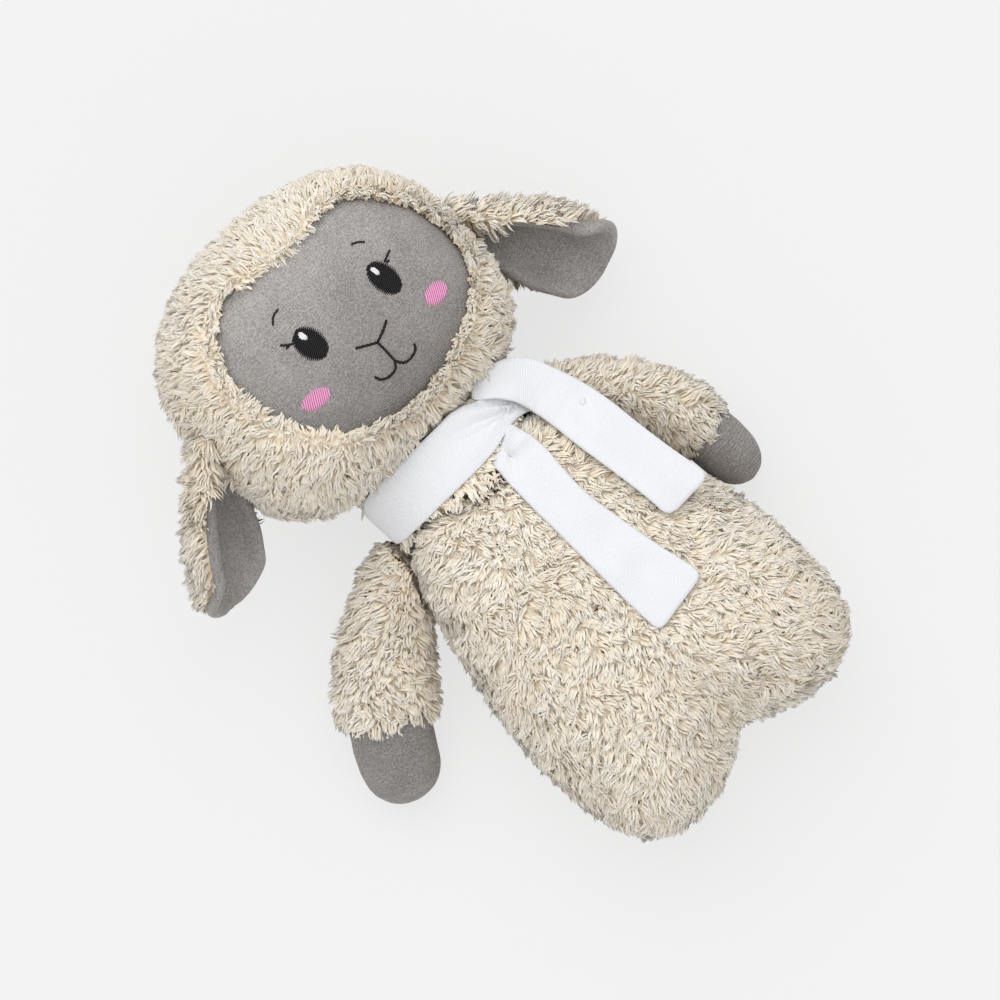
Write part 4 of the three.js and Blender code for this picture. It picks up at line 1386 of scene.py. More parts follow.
@dataclass
class Stitching:
    """Threads that lie on the face, in the head's frame."""

    form: HeadFrame
    thickness: float = 0.75 * MM
    sides: int = 6
    steps: int = 7

    def threads(self, name: str, runs: list[np.ndarray], width: float, lift: float) -> bpy.types.Object:
        """Builds one stitch along each run, round in section, with its ends sunk in the cloth.

        Args:
            name: the piece's name.
            runs: the places that each stitch passes, in the head's frame.
            width: how wide a stitch is.
            lift: how far it lies off the cloth.

        Returns:
            The new object.
        """
        shares = np.linspace(0, 1, self.steps)
        crown = np.sqrt(np.clip(1 - (2 * shares - 1) ** 4, 0, 1))
        rise = lift + self.thickness * (0.5 * crown - 0.18)
        thick = (0.35 + 0.65 * crown)[:, None, None]
        tubes, reaches = [], []
        for run in runs:
            reach = reach_along(run)
            reaches.append(shares * reach[-1])
            x, y = placed(reaches[-1], reach, run).T
            line = self.form.on_face(x, y, rise)
            above = unit(self.form.on_face(x, y, rise + 1 * MM) - line)
            across = unit(np.cross(unit(np.gradient(line, axis=0)), above))
            rings = section(across * width / 2, above * self.thickness / 2, self.sides)
            tubes.append(line[:, None] + rings * thick)
        return closed_tubes(name, tubes, reaches)

    def satin(self, oval: Oval, angle: float, pitch: float) -> list[np.ndarray]:
        """The runs of a satin stitched oval.

        Args:
            oval: the oval.
            angle: which way the threads run, in radians.
            pitch: the distance between threads.

        Returns:
            One run for each thread.
        """
        centre, half = np.array(oval.centre) * MM, np.array(oval.half) * MM
        along = np.array([math.cos(angle), math.sin(angle)])
        across = np.array([-along[1], along[0]])
        cosine, sine = math.cos(oval.tilt), math.sin(oval.tilt)
        turn = np.array([[cosine, sine], [-sine, cosine]])
        metric = turn.T @ np.diag(1 / half**2) @ turn
        runs = []
        for number, offset in enumerate(np.arange(-half.max(), half.max(), pitch)):
            base = across * offset
            quad, linear, rest = along @ metric @ along, 2 * along @ metric @ base, base @ metric @ base - 1
            room = linear**2 - 4 * quad * rest
            if room <= 0:
                continue
            ends = (-linear + np.array([-1, 1]) * math.sqrt(room)) / (2 * quad)
            ends += np.array([-1, 1]) * (0.05 + 0.22 * ((number * 7) % 5) / 4) * MM
            if ends[1] - ends[0] >= 0.8 * MM:
                runs.append(centre + base + np.outer(ends, along))
        return runs

    def lines(self, paths: Sequence[Path], stitch: float = 1.9 * MM) -> list[np.ndarray]:
        """The runs of overlapping stitches along paths.

        Args:
            paths: the places that each path passes, in millimetres.
            stitch: how long each stitch is.

        Returns:
            One run for each stitch.
        """
        runs = []
        for path in paths:
            curve = smooth_line(np.array(path) * MM, 60)
            reach = reach_along(curve)
            count = max(1, round(reach[-1] / stitch))
            for number in range(count):
                ends = (np.array([number - 0.18, number + 1.18]) / count).clip(0, 1) * reach[-1]
                run = placed(np.linspace(*ends, 5), reach, curve)
                way = run[-1] - run[0]
                aside = np.array([-way[1], way[0]]) / max(np.linalg.norm(way), 1e-9)
                runs.append(run + np.outer(np.linspace(-0.12, 0.12, 5) * MM, aside))
        return runs


@dataclass
class Embroidery:
    """Eyes, lashes, brows, cheeks, nose and mouth."""

    finishes: Finishes
    form: HeadFrame

    def piece(
        self, name: str, runs: list[np.ndarray], thread: Thread, width: float, lift: float = 0.0
    ) -> None:
        """Builds one stitched feature and fixes it to the head.

        Args:
            name: the solid that it stands for.
            runs: the places that each stitch passes.
            thread: which thread it is stitched with.
            width: how wide a stitch is.
            lift: how far it lies off the cloth.
        """
        made = Stitching(self.form).threads(f"{name}_stitches", runs, width, lift)
        dress(made, self.finishes.threads[thread], [name], body="head")
        log.info("%s: %d stitches", name, len(runs))

    def build(self) -> None:
        """Builds every stitched feature."""
        stitching = Stitching(self.form)
        for side, motifs in FACE_SIDES.items():
            eye = stitching.satin(motifs.eye, angle=math.radians(28), pitch=0.84 * MM)
            self.piece(f"{side.word}_eye", eye, Thread.BLACK, width=0.98 * MM)
            shine = stitching.satin(motifs.shine, angle=math.radians(100), pitch=0.5 * MM)
            name = f"{side.word}_eye_highlight"
            self.piece(name, shine, Thread.WHITE, width=0.66 * MM, lift=0.5 * MM)
            lashes = stitching.lines(motifs.lashes, stitch=1.6 * MM)
            self.piece(f"{side.word}_lashes", lashes, Thread.BLACK, width=1.0 * MM)
            self.piece(f"{side.word}_brow", stitching.lines([motifs.brow]), Thread.BLACK, width=0.9 * MM)
            cheek = stitching.satin(motifs.cheek, angle=math.radians(62), pitch=0.92 * MM)
            self.piece(f"{side.word}_cheek", cheek, Thread.PINK, width=0.86 * MM)
        self.piece("nose_and_mouth", stitching.lines(NOSE_AND_MOUTH), Thread.BLACK, width=1.15 * MM)


# ---- arms ----


def direction(side: Side, drop: float, lean: float) -> np.ndarray:
    """The way out to one side that points down by one angle and back by another, in degrees.

    Args:
        side: the sheep's side.
        drop: how far it points to the feet.
        lean: how far it points to the back.

    Returns:
        The unit way.
    """
    drop, lean = math.radians(drop), math.radians(lean)
    level = math.cos(lean)
    return np.array([side.value * math.cos(drop) * level, -math.sin(drop) * level, -math.sin(lean)])


@dataclass
class Bow:
    """A curve from a start past a bend to an end."""

    start: np.ndarray
    bend: np.ndarray
    end: np.ndarray
    steps: int = 400

    def __post_init__(self) -> None:
        """Measures the curve."""
        share = np.linspace(0, 1, self.steps)[:, None]
        rest = 1 - share
        self.points = rest**2 * self.start + 2 * share * rest * self.bend + share**2 * self.end
        reach = reach_along(self.points)
        self.length, self.shares = reach[-1], reach / reach[-1]

    def at(self, share: np.ndarray | float) -> np.ndarray:
        """Places at shares of the way."""
        return placed(share, self.shares, self.points)

    def along(self, share: np.ndarray | float) -> np.ndarray:
        """Unit ways at shares of the way."""
        share = np.asarray(share, float)
        return unit(self.at(np.minimum(share + 0.004, 1)) - self.at(np.maximum(share - 0.004, 0)))

    def nearest(self, places: np.ndarray) -> np.ndarray:
        """The share of the way that lies nearest to each place.

        Args:
            places: the places.

        Returns:
            A share for each place.
        """
        coarse, step = 80, 20000
        points, shares = (values[:: self.steps // coarse] for values in (self.points, self.shares))
        found = np.empty(len(places))
        for first in range(0, len(places), step):
            part = places[first : first + step]
            gaps = ((part[:, None] - points[None]) ** 2).sum(-1)
            found[first : first + step] = shares[gaps.argmin(1)]
        return found


@dataclass
class Limb(Sewn):
    """A sewn form on one side of the toy, round a middle line."""

    side: Side
    line: Bow = field(init=False)

    def named(self, piece: str) -> str:
        """A piece's name with the limb's side."""
        return f"{self.side.word}_{piece}"

    def bend(
        self, pieces: Sequence[bpy.types.Object], bodies: Sequence[str], low: float, high: float
    ) -> None:
        """Bakes each piece's place into its mesh; it neither fixes the pieces to the bodies nor lets them
        bend.
        """
        for piece in pieces:
            self.line.at(low)
            self.line.at(high)
            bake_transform(piece)


@dataclass
class Arm(Limb):
    """A fleece sleeve on a shoulder, with a velboa mitten."""

    shoulder_height: float
    root_drop: float
    tip_drop: float
    lean: float
    swell: float = 0.0
    stretch: float = 0.0
    blunt: float = 0.16
    shoulder_x: float = 41 * MM
    seam_height: float = 39.5 * MM
    length: float = 110 * MM
    wrist: float = 0.71
    gusset_end: float = 0.24
    gusset_lap: float = 0.012
    sleeve_lap: float = 0.02
    mitten_lap: float = 0.045
    ground_depth: float = 3.2 * MM
    pile: Pile = Pile(length=6.6 * MM, swirl=1.0, root_lean=0.35, tip_lean=1.05)

    def __post_init__(self) -> None:
        """Lays out the arm's middle line."""
        root = np.array([self.side.value * self.shoulder_x, self.shoulder_height, self.seam_height])
        away, down = (direction(self.side, drop, self.lean) for drop in (self.root_drop, self.tip_drop))
        reach = self.length / Bow(np.zeros(3), away, away + down).length
        self.line = Bow(root, root + away * reach, root + (away + down) * reach)

    def plump(self, whole: bpy.types.Object) -> None:
        """Lets the arm widen towards a blunt hand.

        Args:
            whole: the arm's whole skin.
        """
        points, _ = vertex_arrays(whole)
        share = self.line.nearest(points)
        middle, along = self.line.at(share), self.line.along(share)
        away = points - middle
        beyond = (away * along).sum(1, keepdims=True) * along
        grown = 1 + self.swell * smooth(share, 0.3, 0.75) + self.blunt * smooth(share, 0.8, 1.0)
        forth = self.stretch * smooth(share, 0.6, 1.0)
        set_points(whole, middle + (away - beyond) * grown[:, None] + beyond + along * forth[:, None])

    def cut(self, piece: bpy.types.Object, low: float, high: float) -> None:
        """Keeps the part of a piece between two shares of the way.

        Args:
            piece: the piece.
            low, high: the two shares.
        """

        def is_between(places: np.ndarray) -> np.ndarray:
            """Whether places lie between the two shares."""
            share = self.line.nearest(places)
            return (share > low) & (share < high)

        keep_where(piece, is_between)

    def comb(self, places: np.ndarray) -> np.ndarray:
        """The pile lies along the arm towards the hand."""
        return self.line.along(self.line.nearest(places))

    def length_at(self, places: np.ndarray) -> np.ndarray:
        """The pile gets shorter where the mitten is sewn on."""
        share = self.line.nearest(places)
        return 1 - 0.2 * smooth(share, self.wrist - 0.05, self.wrist + 0.01)

    def build(self) -> None:
        """Builds the shoulder, the sleeve and the mitten."""
        parts = ("shoulder_gusset", "sleeve_front", "sleeve_back", "arm_filling", "hand_front", "hand_back")
        solids = [self.named(part) for part in parts]
        whole = envelope(self.named("arm_whole"), solids, voxel=1.6 * MM, rounds=8)
        self.plump(whole)
        hand = copy_of(whole, self.named("mitten"))
        sink(whole, self.ground_depth)
        sleeve = copy_of(whole, self.named("sleeve_ground"))
        shoulder = copy_of(whole, self.named("shoulder_ground"))
        bpy.data.objects.remove(whole)
        self.cut(shoulder, -math.inf, self.gusset_end + self.gusset_lap)
        self.cut(sleeve, self.gusset_end - self.gusset_lap, self.wrist + self.sleeve_lap)
        self.cut(hand, self.wrist - self.mitten_lap, math.inf)
        neighbours = tree_of([*TORSO_SOLIDS, *HEAD_SOLIDS], SCARF_CLOTHS)
        upper, lower = self.named("shoulder"), self.named("arm")
        tubes = (
            (shoulder, "shoulder", parts[:1], ("torso", upper), 0.02, self.gusset_end * 0.8),
            (sleeve, "sleeve", parts[1:3], (upper, lower), self.gusset_end, self.gusset_end + 0.2),
        )
        for ground, word, cloths, bodies, low, high in tubes:
            tuft = grow(Surface.of(ground), self.pile, self.comb, self.rng, neighbours, self.length_at)
            fleece = self.fleece(self.named(f"{word}_fleece"), tuft)
            cloths = [self.named(cloth) for cloth in cloths]
            dress(ground, self.finishes.ground, cloths)
            self.bend((ground, fleece), bodies, low, high)
        self.mitten(hand)

    def mitten(self, hand: bpy.types.Object) -> None:
        """Finishes the velboa mitten, which is tucked in where it meets the sleeve.

        Args:
            hand: the hand's end of the arm's skin.
        """
        apply_modifier(hand, "SMOOTH", factor=0.5, iterations=6)
        share = self.line.nearest(vertex_arrays(hand)[0])
        sink(hand, self.ground_depth * (1 - smooth(share, self.wrist - 0.03, self.wrist + 0.03)))
        apply_modifier(hand, "SUBSURF", levels=1, render_levels=1)
        points, _ = vertex_arrays(hand)
        share = self.line.nearest(points)
        height = (points - self.line.at(share))[:, 2]
        # The mitten lies at the low end of the map, so the velboa gives all of it its full painted shade.
        face_map(hand, CLOTH_MAP, np.column_stack([height, (share - 1.3) * self.length]))
        solids = [self.named("hand_front"), self.named("hand_back")]
        dress(hand, self.finishes.velboa, solids, body=self.named("arm"))


# ---- ears ----


# A wing's bend is tabled for this many strengths of its curl and places across it.
STRENGTHS = 8
PLACES = 80


@dataclass
class Ear(Limb):
    """A spoon of fleece lined with velboa that laps round its rim, sewn to the side of the head."""

    hinge: tuple[float, float, float]
    root_drop: float
    tip_drop: float
    lean: float
    facing: float
    curls: tuple[float, float]
    laps: tuple[float, float]
    openings: tuple[float, float]
    tips: tuple[float, float]
    tip_reach: float = 40 * MM
    tip_lap: float = 5 * MM
    half_width: float = 23 * MM
    root_reach: float = 28 * MM
    overlap: float = 17 * MM
    root_depth: float = 8 * MM
    thickness: float = 4.0 * MM
    cup: float = 6.0 * MM
    rows: int = 44
    columns: int = 34
    pile: Pile = Pile(length=7.6 * MM, swirl=1.0, root_lean=0.25, tip_lean=1.0)

    def __post_init__(self) -> None:
        """Lays out the ear's middle line and the bend of its two wings."""
        hinge = np.array(self.hinge) * MM
        drops = (self.root_drop, self.tip_drop)
        root_way, tip_way = (direction(self.side, drop, self.lean) for drop in drops)
        bend = hinge + root_way * self.root_reach
        start = hinge - root_way * self.overlap - np.array([0, 0, self.root_depth])
        self.line = Bow(start, bend, bend + tip_way * self.tip_reach)
        self.bends = {}
        for sign, curl in zip((-1, 1), self.curls):
            angle = np.linspace(0, 1, STRENGTHS + 1)[:, None] * curl * np.linspace(0, 1, PLACES + 1) ** 1.25
            between = (angle[:, 1:] + angle[:, :-1]) / 2
            over, up = (
                np.pad(np.cumsum(way(between), axis=1) / PLACES, ((0, 0), (1, 0))) for way in (np.cos, np.sin)
            )
            self.bends[sign] = np.stack([angle, over, up])

    def width(self, share: np.ndarray) -> np.ndarray:
        """The ear's half width at shares of the way from root to tip.

        Args:
            share: the shares.

        Returns:
            A half width for each.
        """
        swell = 0.44 + 0.56 * smooth(share, 0.1, 0.66)
        rounding = np.sqrt(np.clip(1 - np.clip((share - 0.66) / 0.34, 0, 1) ** 2.4, 0, 1))
        return self.half_width * swell * rounding

    def around(self, share: np.ndarray, reach: np.ndarray) -> np.ndarray:
        """Places on the ear's skin.

        Args:
            share: shares of the way from root to tip.
            reach: how far round the skin from the middle of the hollow, past the rim on to the back.

        Returns:
            The places.
        """
        width = np.maximum(self.width(share), 0.05 * MM)
        near_tip = np.clip((share - 0.93) / 0.07, 0, 1)
        depth = self.thickness * np.sqrt(np.clip(1 - near_tip**2, 0.02, 1))
        rim = math.pi / 2 * depth
        sign = np.where(reach < 0, -1.0, 1.0)
        far = np.abs(reach)
        turn = np.clip((far - width) / rim, 0, 1) * math.pi
        back = np.clip(far - width - rim, 0, None)
        column = np.clip(np.where(far > width, 1 - back / width, far / width), 0, 1)
        flatter = 1 - 0.85 * smooth(share, 0.72, 1.0)
        angle, over, up = np.where(sign > 0, self.bent(1, flatter, column), self.bent(-1, flatter, column))
        along = self.line.along(share)
        front = unit(np.array([0.0, 0.0, 1.0]) - along[..., 2:3] * along)
        facing = self.side.value * math.radians(self.facing)
        hollow = front * math.cos(facing) + np.cross(along, front) * math.sin(facing)
        across = np.cross(along, hollow)

        def mixed(sideways: np.ndarray, upwards: np.ndarray) -> np.ndarray:
            """Goes so far across the ear and so far up out of its hollow."""
            return across * sideways[..., None] + hollow * upwards[..., None]

        outwards = mixed(sign * np.cos(angle), np.sin(angle))
        inwards = mixed(-sign * np.sin(angle), np.cos(angle))
        middle = mixed(sign * over * width, up * width + self.cup * smooth(share, 0.55, 1.0) ** 2)
        inner, outer = np.cos(turn) * depth / 2, np.sin(turn) * depth / 2
        return self.line.at(share) + middle + inwards * inner[..., None] + outwards * outer[..., None]

    def bent(self, sign: int, strength: np.ndarray, column: np.ndarray) -> np.ndarray:
        """The turn of one wing and how far it reaches over and up, at shares of its bend and its width.

        Args:
            sign: which wing.
            strength: shares of its bend.
            column: shares of its width.

        Returns:
            The turns and both reaches.
        """
        row, place = strength * STRENGTHS, column * PLACES
        first = np.minimum(row.astype(int), STRENGTHS - 1)
        start = np.minimum(place.astype(int), PLACES - 1)
        low, near = row - first, place - start
        table = self.bends[sign]
        before = table[:, first, start] * (1 - near) + table[:, first, start + 1] * near
        after = table[:, first + 1, start] * (1 - near) + table[:, first + 1, start + 1] * near
        return before * (1 - low) + after * low

    def edge(self, share: np.ndarray, index: int) -> np.ndarray:
        """How far round the skin the lining goes on one side: inside at the root, past the rim beyond.

        Args:
            share: shares of the way from root to tip.
            index: which side.

        Returns:
            How far from the middle of the hollow.
        """
        width = self.width(share)
        lap = self.laps[index] * smooth(share, 0.3, 0.5)
        lap = lap + (self.tip_lap - lap) * smooth(share, self.tips[index], self.tips[index] + 0.16)
        whole = width + math.pi / 2 * self.thickness + lap
        return width * 0.5 + (whole - width * 0.5) * smooth(share, 0.08, self.openings[index])

    def skin(self, name: str, is_lining: bool) -> bpy.types.Object:
        """The lining, or the rest of the ear's skin.

        Args:
            name: the piece's name.
            is_lining: whether it is the lining.

        Returns:
            The new object.
        """
        rows = np.sin(np.linspace(0, math.pi / 2, self.rows)) ** 1.1
        rows = rows * 0.5 + np.linspace(0, 1, self.rows) * 0.5
        low, high = -self.edge(rows, 0), self.edge(rows, 1)
        whole = 2 * (2 * self.width(rows) + math.pi / 2 * self.thickness)
        columns = np.linspace(0, 1, self.columns)
        if is_lining:
            reach = low[:, None] + (high - low)[:, None] * columns
        else:
            left = whole - (high - low)
            reach = high[:, None] + left[:, None] * columns
            reach = np.where(reach > whole[:, None] / 2, reach - whole[:, None], reach)
        share = np.broadcast_to(rows[:, None], reach.shape)
        points = self.around(share, reach).reshape(-1, 3)
        made = mesh_object(name, points, grid_faces(self.rows, self.columns))
        # Painted shade: this axis runs low at the root and in the middle of the hollow, which the velboa
        # paints darker, and high towards the tip and the rims, which it paints lighter.
        nap = share * self.line.length + 0.7 * np.abs(reach) - 78 * MM
        face_map(made, CLOTH_MAP, np.column_stack([reach.ravel(), nap.ravel()]))
        apply_modifier(made, "WELD", merge_threshold=0.08 * MM)
        points, normals = vertex_arrays(made)
        middle = self.line.at(self.line.nearest(points))
        if ((points - middle) * normals).sum() * (-1 if is_lining else 1) < 0:
            made.data.flip_normals()
        return made

    def build(self) -> None:
        """Builds the ear's lining, its ground and its pile."""
        inner = self.skin(self.named("ear_lining"), is_lining=True)
        outer = self.skin(self.named("ear_ground"), is_lining=False)
        surface = Surface.of(outer)
        for piece in (inner, outer):
            apply_modifier(piece, "SOLIDIFY", thickness=0.9 * MM, offset=-1.0)
            apply_modifier(piece, "SUBSURF", levels=1, render_levels=1)
        dress(inner, self.finishes.velboa, [self.named("ear_inner")])
        dress(outer, self.finishes.ground, [self.named("ear_outer")])
        neighbours = tree_of([], [inner.name])
        tuft = grow(surface, self.pile, self.comb, self.rng, neighbours, self.length_at)
        fleece = self.fleece(self.named("ear_fleece"), tuft)
        self.bend((inner, outer, fleece), ("head", self.named("ear")), 0.12, 0.3)

    def comb(self, places: np.ndarray) -> np.ndarray:
        """The pile lies along the ear and out over its edges."""
        share = self.line.nearest(places)
        return self.line.along(share) + 0.45 * unit(places - self.line.at(share))

    def length_at(self, places: np.ndarray) -> np.ndarray:
        """The pile is shorter towards the tip."""
        return 1.15 - 0.35 * smooth(self.line.nearest(places), 0.6, 1.0)


# ---- neck ----


@dataclass
class Neck(Sewn):
    """The narrow tube of fleece under the scarf."""

    ground_depth: float = 2.5 * MM
    pile: Pile = Pile(
        spacing=1.35 * MM, length=8.6 * MM, width=1.45 * MM, swirl=0.6, root_lean=0.35, tip_lean=1.2
    )

    def comb(self, places: np.ndarray) -> np.ndarray:
        """The pile lies down the neck."""
        return np.tile([0.0, -1.0, 0.0], (len(places), 1))

    def build(self) -> None:
        """Builds the ground and the pile that shows between scarf and head."""
        ground = envelope("neck_ground", ("neck_gusset", "neck_filling"), voxel=2.4 * MM, rounds=4)
        sink(ground, self.ground_depth)
        dress(ground, self.finishes.ground, ["neck_gusset"])
        surface = Surface.of(ground)
        upright = np.abs(surface.normals.mean(1)[:, 1]) < 0.5
        surface = Surface(surface.corners[upright], surface.normals[upright])
        tuft = grow(surface, self.pile, self.comb, self.rng, tree_of([], SCARF_CLOTHS))
        fleece = self.fleece("neck_fleece", tuft)
        for piece in (ground, fleece):
            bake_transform(piece)


# ---- scarf ----


Station = tuple[tuple[float, float], tuple[float, float]]
Dent = tuple[float, float, float, float]


@dataclass
class Strip:
    """One end of the scarf: doubled jersey, laid along two edges, in millimetres seen from above."""

    name: str
    solids: tuple[str, ...]
    bodies: tuple[str, str]
    hinge: tuple[tuple[float, float, float], tuple[float, float, float]]
    stations: tuple[Station, ...]
    dents: tuple[Dent, ...]
    rests_on: tuple[str, ...]
    start_drop: float = 0.0
    thickness: float = 2.6
    corner: float = 4.5
    rows: int = 110
    columns: int = 30

    def sheet(self) -> tuple[np.ndarray, np.ndarray, np.ndarray]:
        """Lays the middle of the strip over what carries it.

        Returns:
            Its points in rows, and each point's place along and across the strip, all in millimetres.
        """
        edges = np.array(self.stations, float)
        first, second = smooth_line(edges[:, 0], 240), smooth_line(edges[:, 1], 240)
        middle = (first + second) / 2
        reach = reach_along(middle)
        share = (1 - np.cos(np.linspace(0, math.pi, self.rows))) / 2
        share = 0.35 * share + 0.65 * np.linspace(0, 1, self.rows)
        along = share * reach[-1]
        first, second = (placed(along, reach, edge) for edge in (first, second))
        half = np.linalg.norm(second - first, axis=1) / 2
        gap = np.clip(self.corner - (reach[-1] - along), 0, self.corner)
        inset = self.corner - np.sqrt(self.corner**2 - gap**2)
        inset += 0.6 * np.clip(2 - along, 0, 2)
        even = np.linspace(-1, 1, self.columns)
        column = np.sin(even * math.pi / 2) * 0.4 + even * 0.6
        across = column[None] * (half - inset)[:, None]
        way = (second - first) / (2 * half)[:, None]
        flat = ((first + second) / 2)[:, None] + way[:, None] * across[:, :, None]
        height = self.heights(flat)
        height -= self.start_drop * (1 - smooth(along, 0, 9))[:, None] * np.ones(self.columns)
        for place, aside, depth, size in self.dents:
            distance = ((along[:, None] - place) / size) ** 2 + ((across - aside) / (0.8 * size)) ** 2
            height -= 1.7 * depth * np.exp(-distance)
        points = np.dstack([flat, height[:, :, None]])
        return points, np.broadcast_to(along[:, None], across.shape), across

    def heights(self, flat: np.ndarray) -> np.ndarray:
        """The height of the frame's own strip under each place, softened along the cloth.

        Args:
            flat: places seen from above, in millimetres.

        Returns:
            Heights, in millimetres.
        """
        tree = tree_of(self.solids)
        spots = flat.reshape(-1, 2) * MM
        found = np.full(len(spots), np.nan)
        for index, (x, y) in enumerate(spots):
            hit = tree.ray_cast(Vector((x, y, 0.3)), Vector((0, 0, -1)))[0]
            if hit is not None:
                found[index] = hit.z
        known = np.flatnonzero(~np.isnan(found))
        near = KDTree(len(known))
        for index in known:
            near.insert(Vector((*spots[index], 0)), int(index))
        near.balance()
        for index in np.flatnonzero(np.isnan(found)):
            found[index] = found[near.find(Vector((*spots[index], 0)))[1]]
        grid = found.reshape(flat.shape[:2]) / MM - self.thickness / 2
        for _ in range(10):
            wide = np.pad(grid, 1, mode="edge")
            grid = (wide[:-2, 1:-1] + wide[2:, 1:-1] + wide[1:-1, :-2] + wide[1:-1, 2:] + 2 * grid) / 6
        return grid

    def build(self, material: bpy.types.Material) -> bpy.types.Object:
        """Builds the strip as a soft closed pillow of two layers.

        Args:
            material: the cloth's material.

        Returns:
            The new object.
        """
        middle, along, across = self.sheet()
        rows, columns = along.shape
        tangent, side = np.gradient(middle, axis=0), np.gradient(middle, axis=1)
        normal = unit(np.cross(side, tangent))
        normal *= np.sign(normal[..., 2:3])
        edge = np.abs(np.linspace(-1, 1, columns))
        ends = np.clip(np.minimum(along, along.max() - along) / 1.6, 0, 1)
        rounded = np.sqrt(np.clip(1 - edge**6, 0.02, 1))[None]
        half = self.thickness / 2 * rounded * np.sqrt(np.clip(1 - (1 - ends) ** 2, 0.02, 1))
        ripple = 0.8 * field_noise(middle.reshape(-1, 3), 16, 3.1).reshape(rows, columns)

        def wrapped(upper: np.ndarray, lower: np.ndarray) -> np.ndarray:
            """Rows that run over the upper layer and back under the lower one."""
            return np.concatenate([upper, lower[:, ::-1]], axis=1)

        above, below = normal * (half + ripple)[..., None], normal * (half - ripple)[..., None]
        loops = wrapped(middle + above, middle - below)
        maps = np.stack([wrapped(across, across), wrapped(along, along)], axis=-1)
        ring = 2 * columns
        caps = []
        for row, order in ((0, 1), (rows - 1, -1)):
            first, last = row * ring, row * ring + ring - 1
            for column in range(columns - 1):
                quad = [first + column, first + column + 1, last - 1 - column, last - column]
                caps.append(quad[::order])
        faces = np.vstack([grid_faces(rows, ring, closed=True), caps])
        made = mesh_object(self.name, loops.reshape(-1, 3) * MM, faces)
        outward(made)
        face_map(made, CLOTH_MAP, maps.reshape(-1, 2) * MM)
        dress(made, material, self.solids)
        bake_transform(made)
        return made


LEFT_STRIP = Strip(
    name="scarf_left_strip",
    solids=("scarf_crossing", "scarf_left_tail"),
    bodies=("torso", "left_scarf_tail"),
    hinge=((49.5, 69.5, 76.0), (52.5, 52.0, 76.0)),
    stations=(
        ((28.5, 106.5), (22.0, 100.0)),
        ((35.5, 105.3), (28.6, 94.8)),
        ((42.3, 103.7), (32.4, 90.1)),
        ((48.1, 100.1), (35.0, 85.3)),
        ((53.3, 93.6), (36.4, 80.1)),
        ((57.0, 83.5), (37.3, 74.0)),
        ((60.2, 72.8), (38.3, 66.0)),
        ((62.6, 59.3), (39.3, 53.4)),
        ((63.8, 44.6), (40.7, 41.1)),
        ((65.1, 30.0), (42.0, 28.8)),
        ((66.9, 15.8), (43.1, 16.4)),
        ((68.3, 4.0), (43.4, 4.6)),
    ),
    dents=(
        (52.0, 1.0, 1.0, 4.5),
        (18.0, 5.0, -0.9, 8.0),
        (80.0, -3.0, 0.8, 12.0),
        (98.0, 4.0, -0.6, 10.0),
        (36.0, -5.0, 0.5, 7.0),
    ),
    rests_on=("torso_front_panel", "scarf_band_cloth"),
    start_drop=3.0,
)
RIGHT_STRIP = Strip(
    name="scarf_right_strip",
    solids=("scarf_right_tail",),
    bodies=("torso", "right_scarf_tail"),
    hinge=((17.5, 80.0, 80.4), (17.5, 70.0, 80.4)),
    stations=(
        ((26.5, 82.0), (10.5, 80.5)),
        ((27.6, 76.5), (8.6, 75.2)),
        ((29.0, 70.0), (7.6, 67.9)),
        ((29.0, 61.9), (6.9, 57.1)),
        ((27.8, 51.7), (6.4, 47.6)),
        ((27.0, 37.4), (6.2, 36.1)),
        ((28.7, 20.9), (5.6, 18.6)),
        ((30.9, 4.8), (5.0, 1.0)),
        ((33.3, -8.7), (4.7, -13.9)),
        ((35.8, -22.4), (4.8, -26.0)),
    ),
    dents=(
        (9.0, 2.0, 2.6, 3.0),
        (5.0, -6.0, -1.4, 4.0),
        (62.0, -4.0, 1.1, 9.0),
        (74.0, 6.0, -0.8, 8.0),
        (82.0, -2.0, 0.9, 8.0),
        (30.0, 3.0, 0.5, 10.0),
    ),
    rests_on=("torso_front_panel",),
    start_drop=9.0,
)


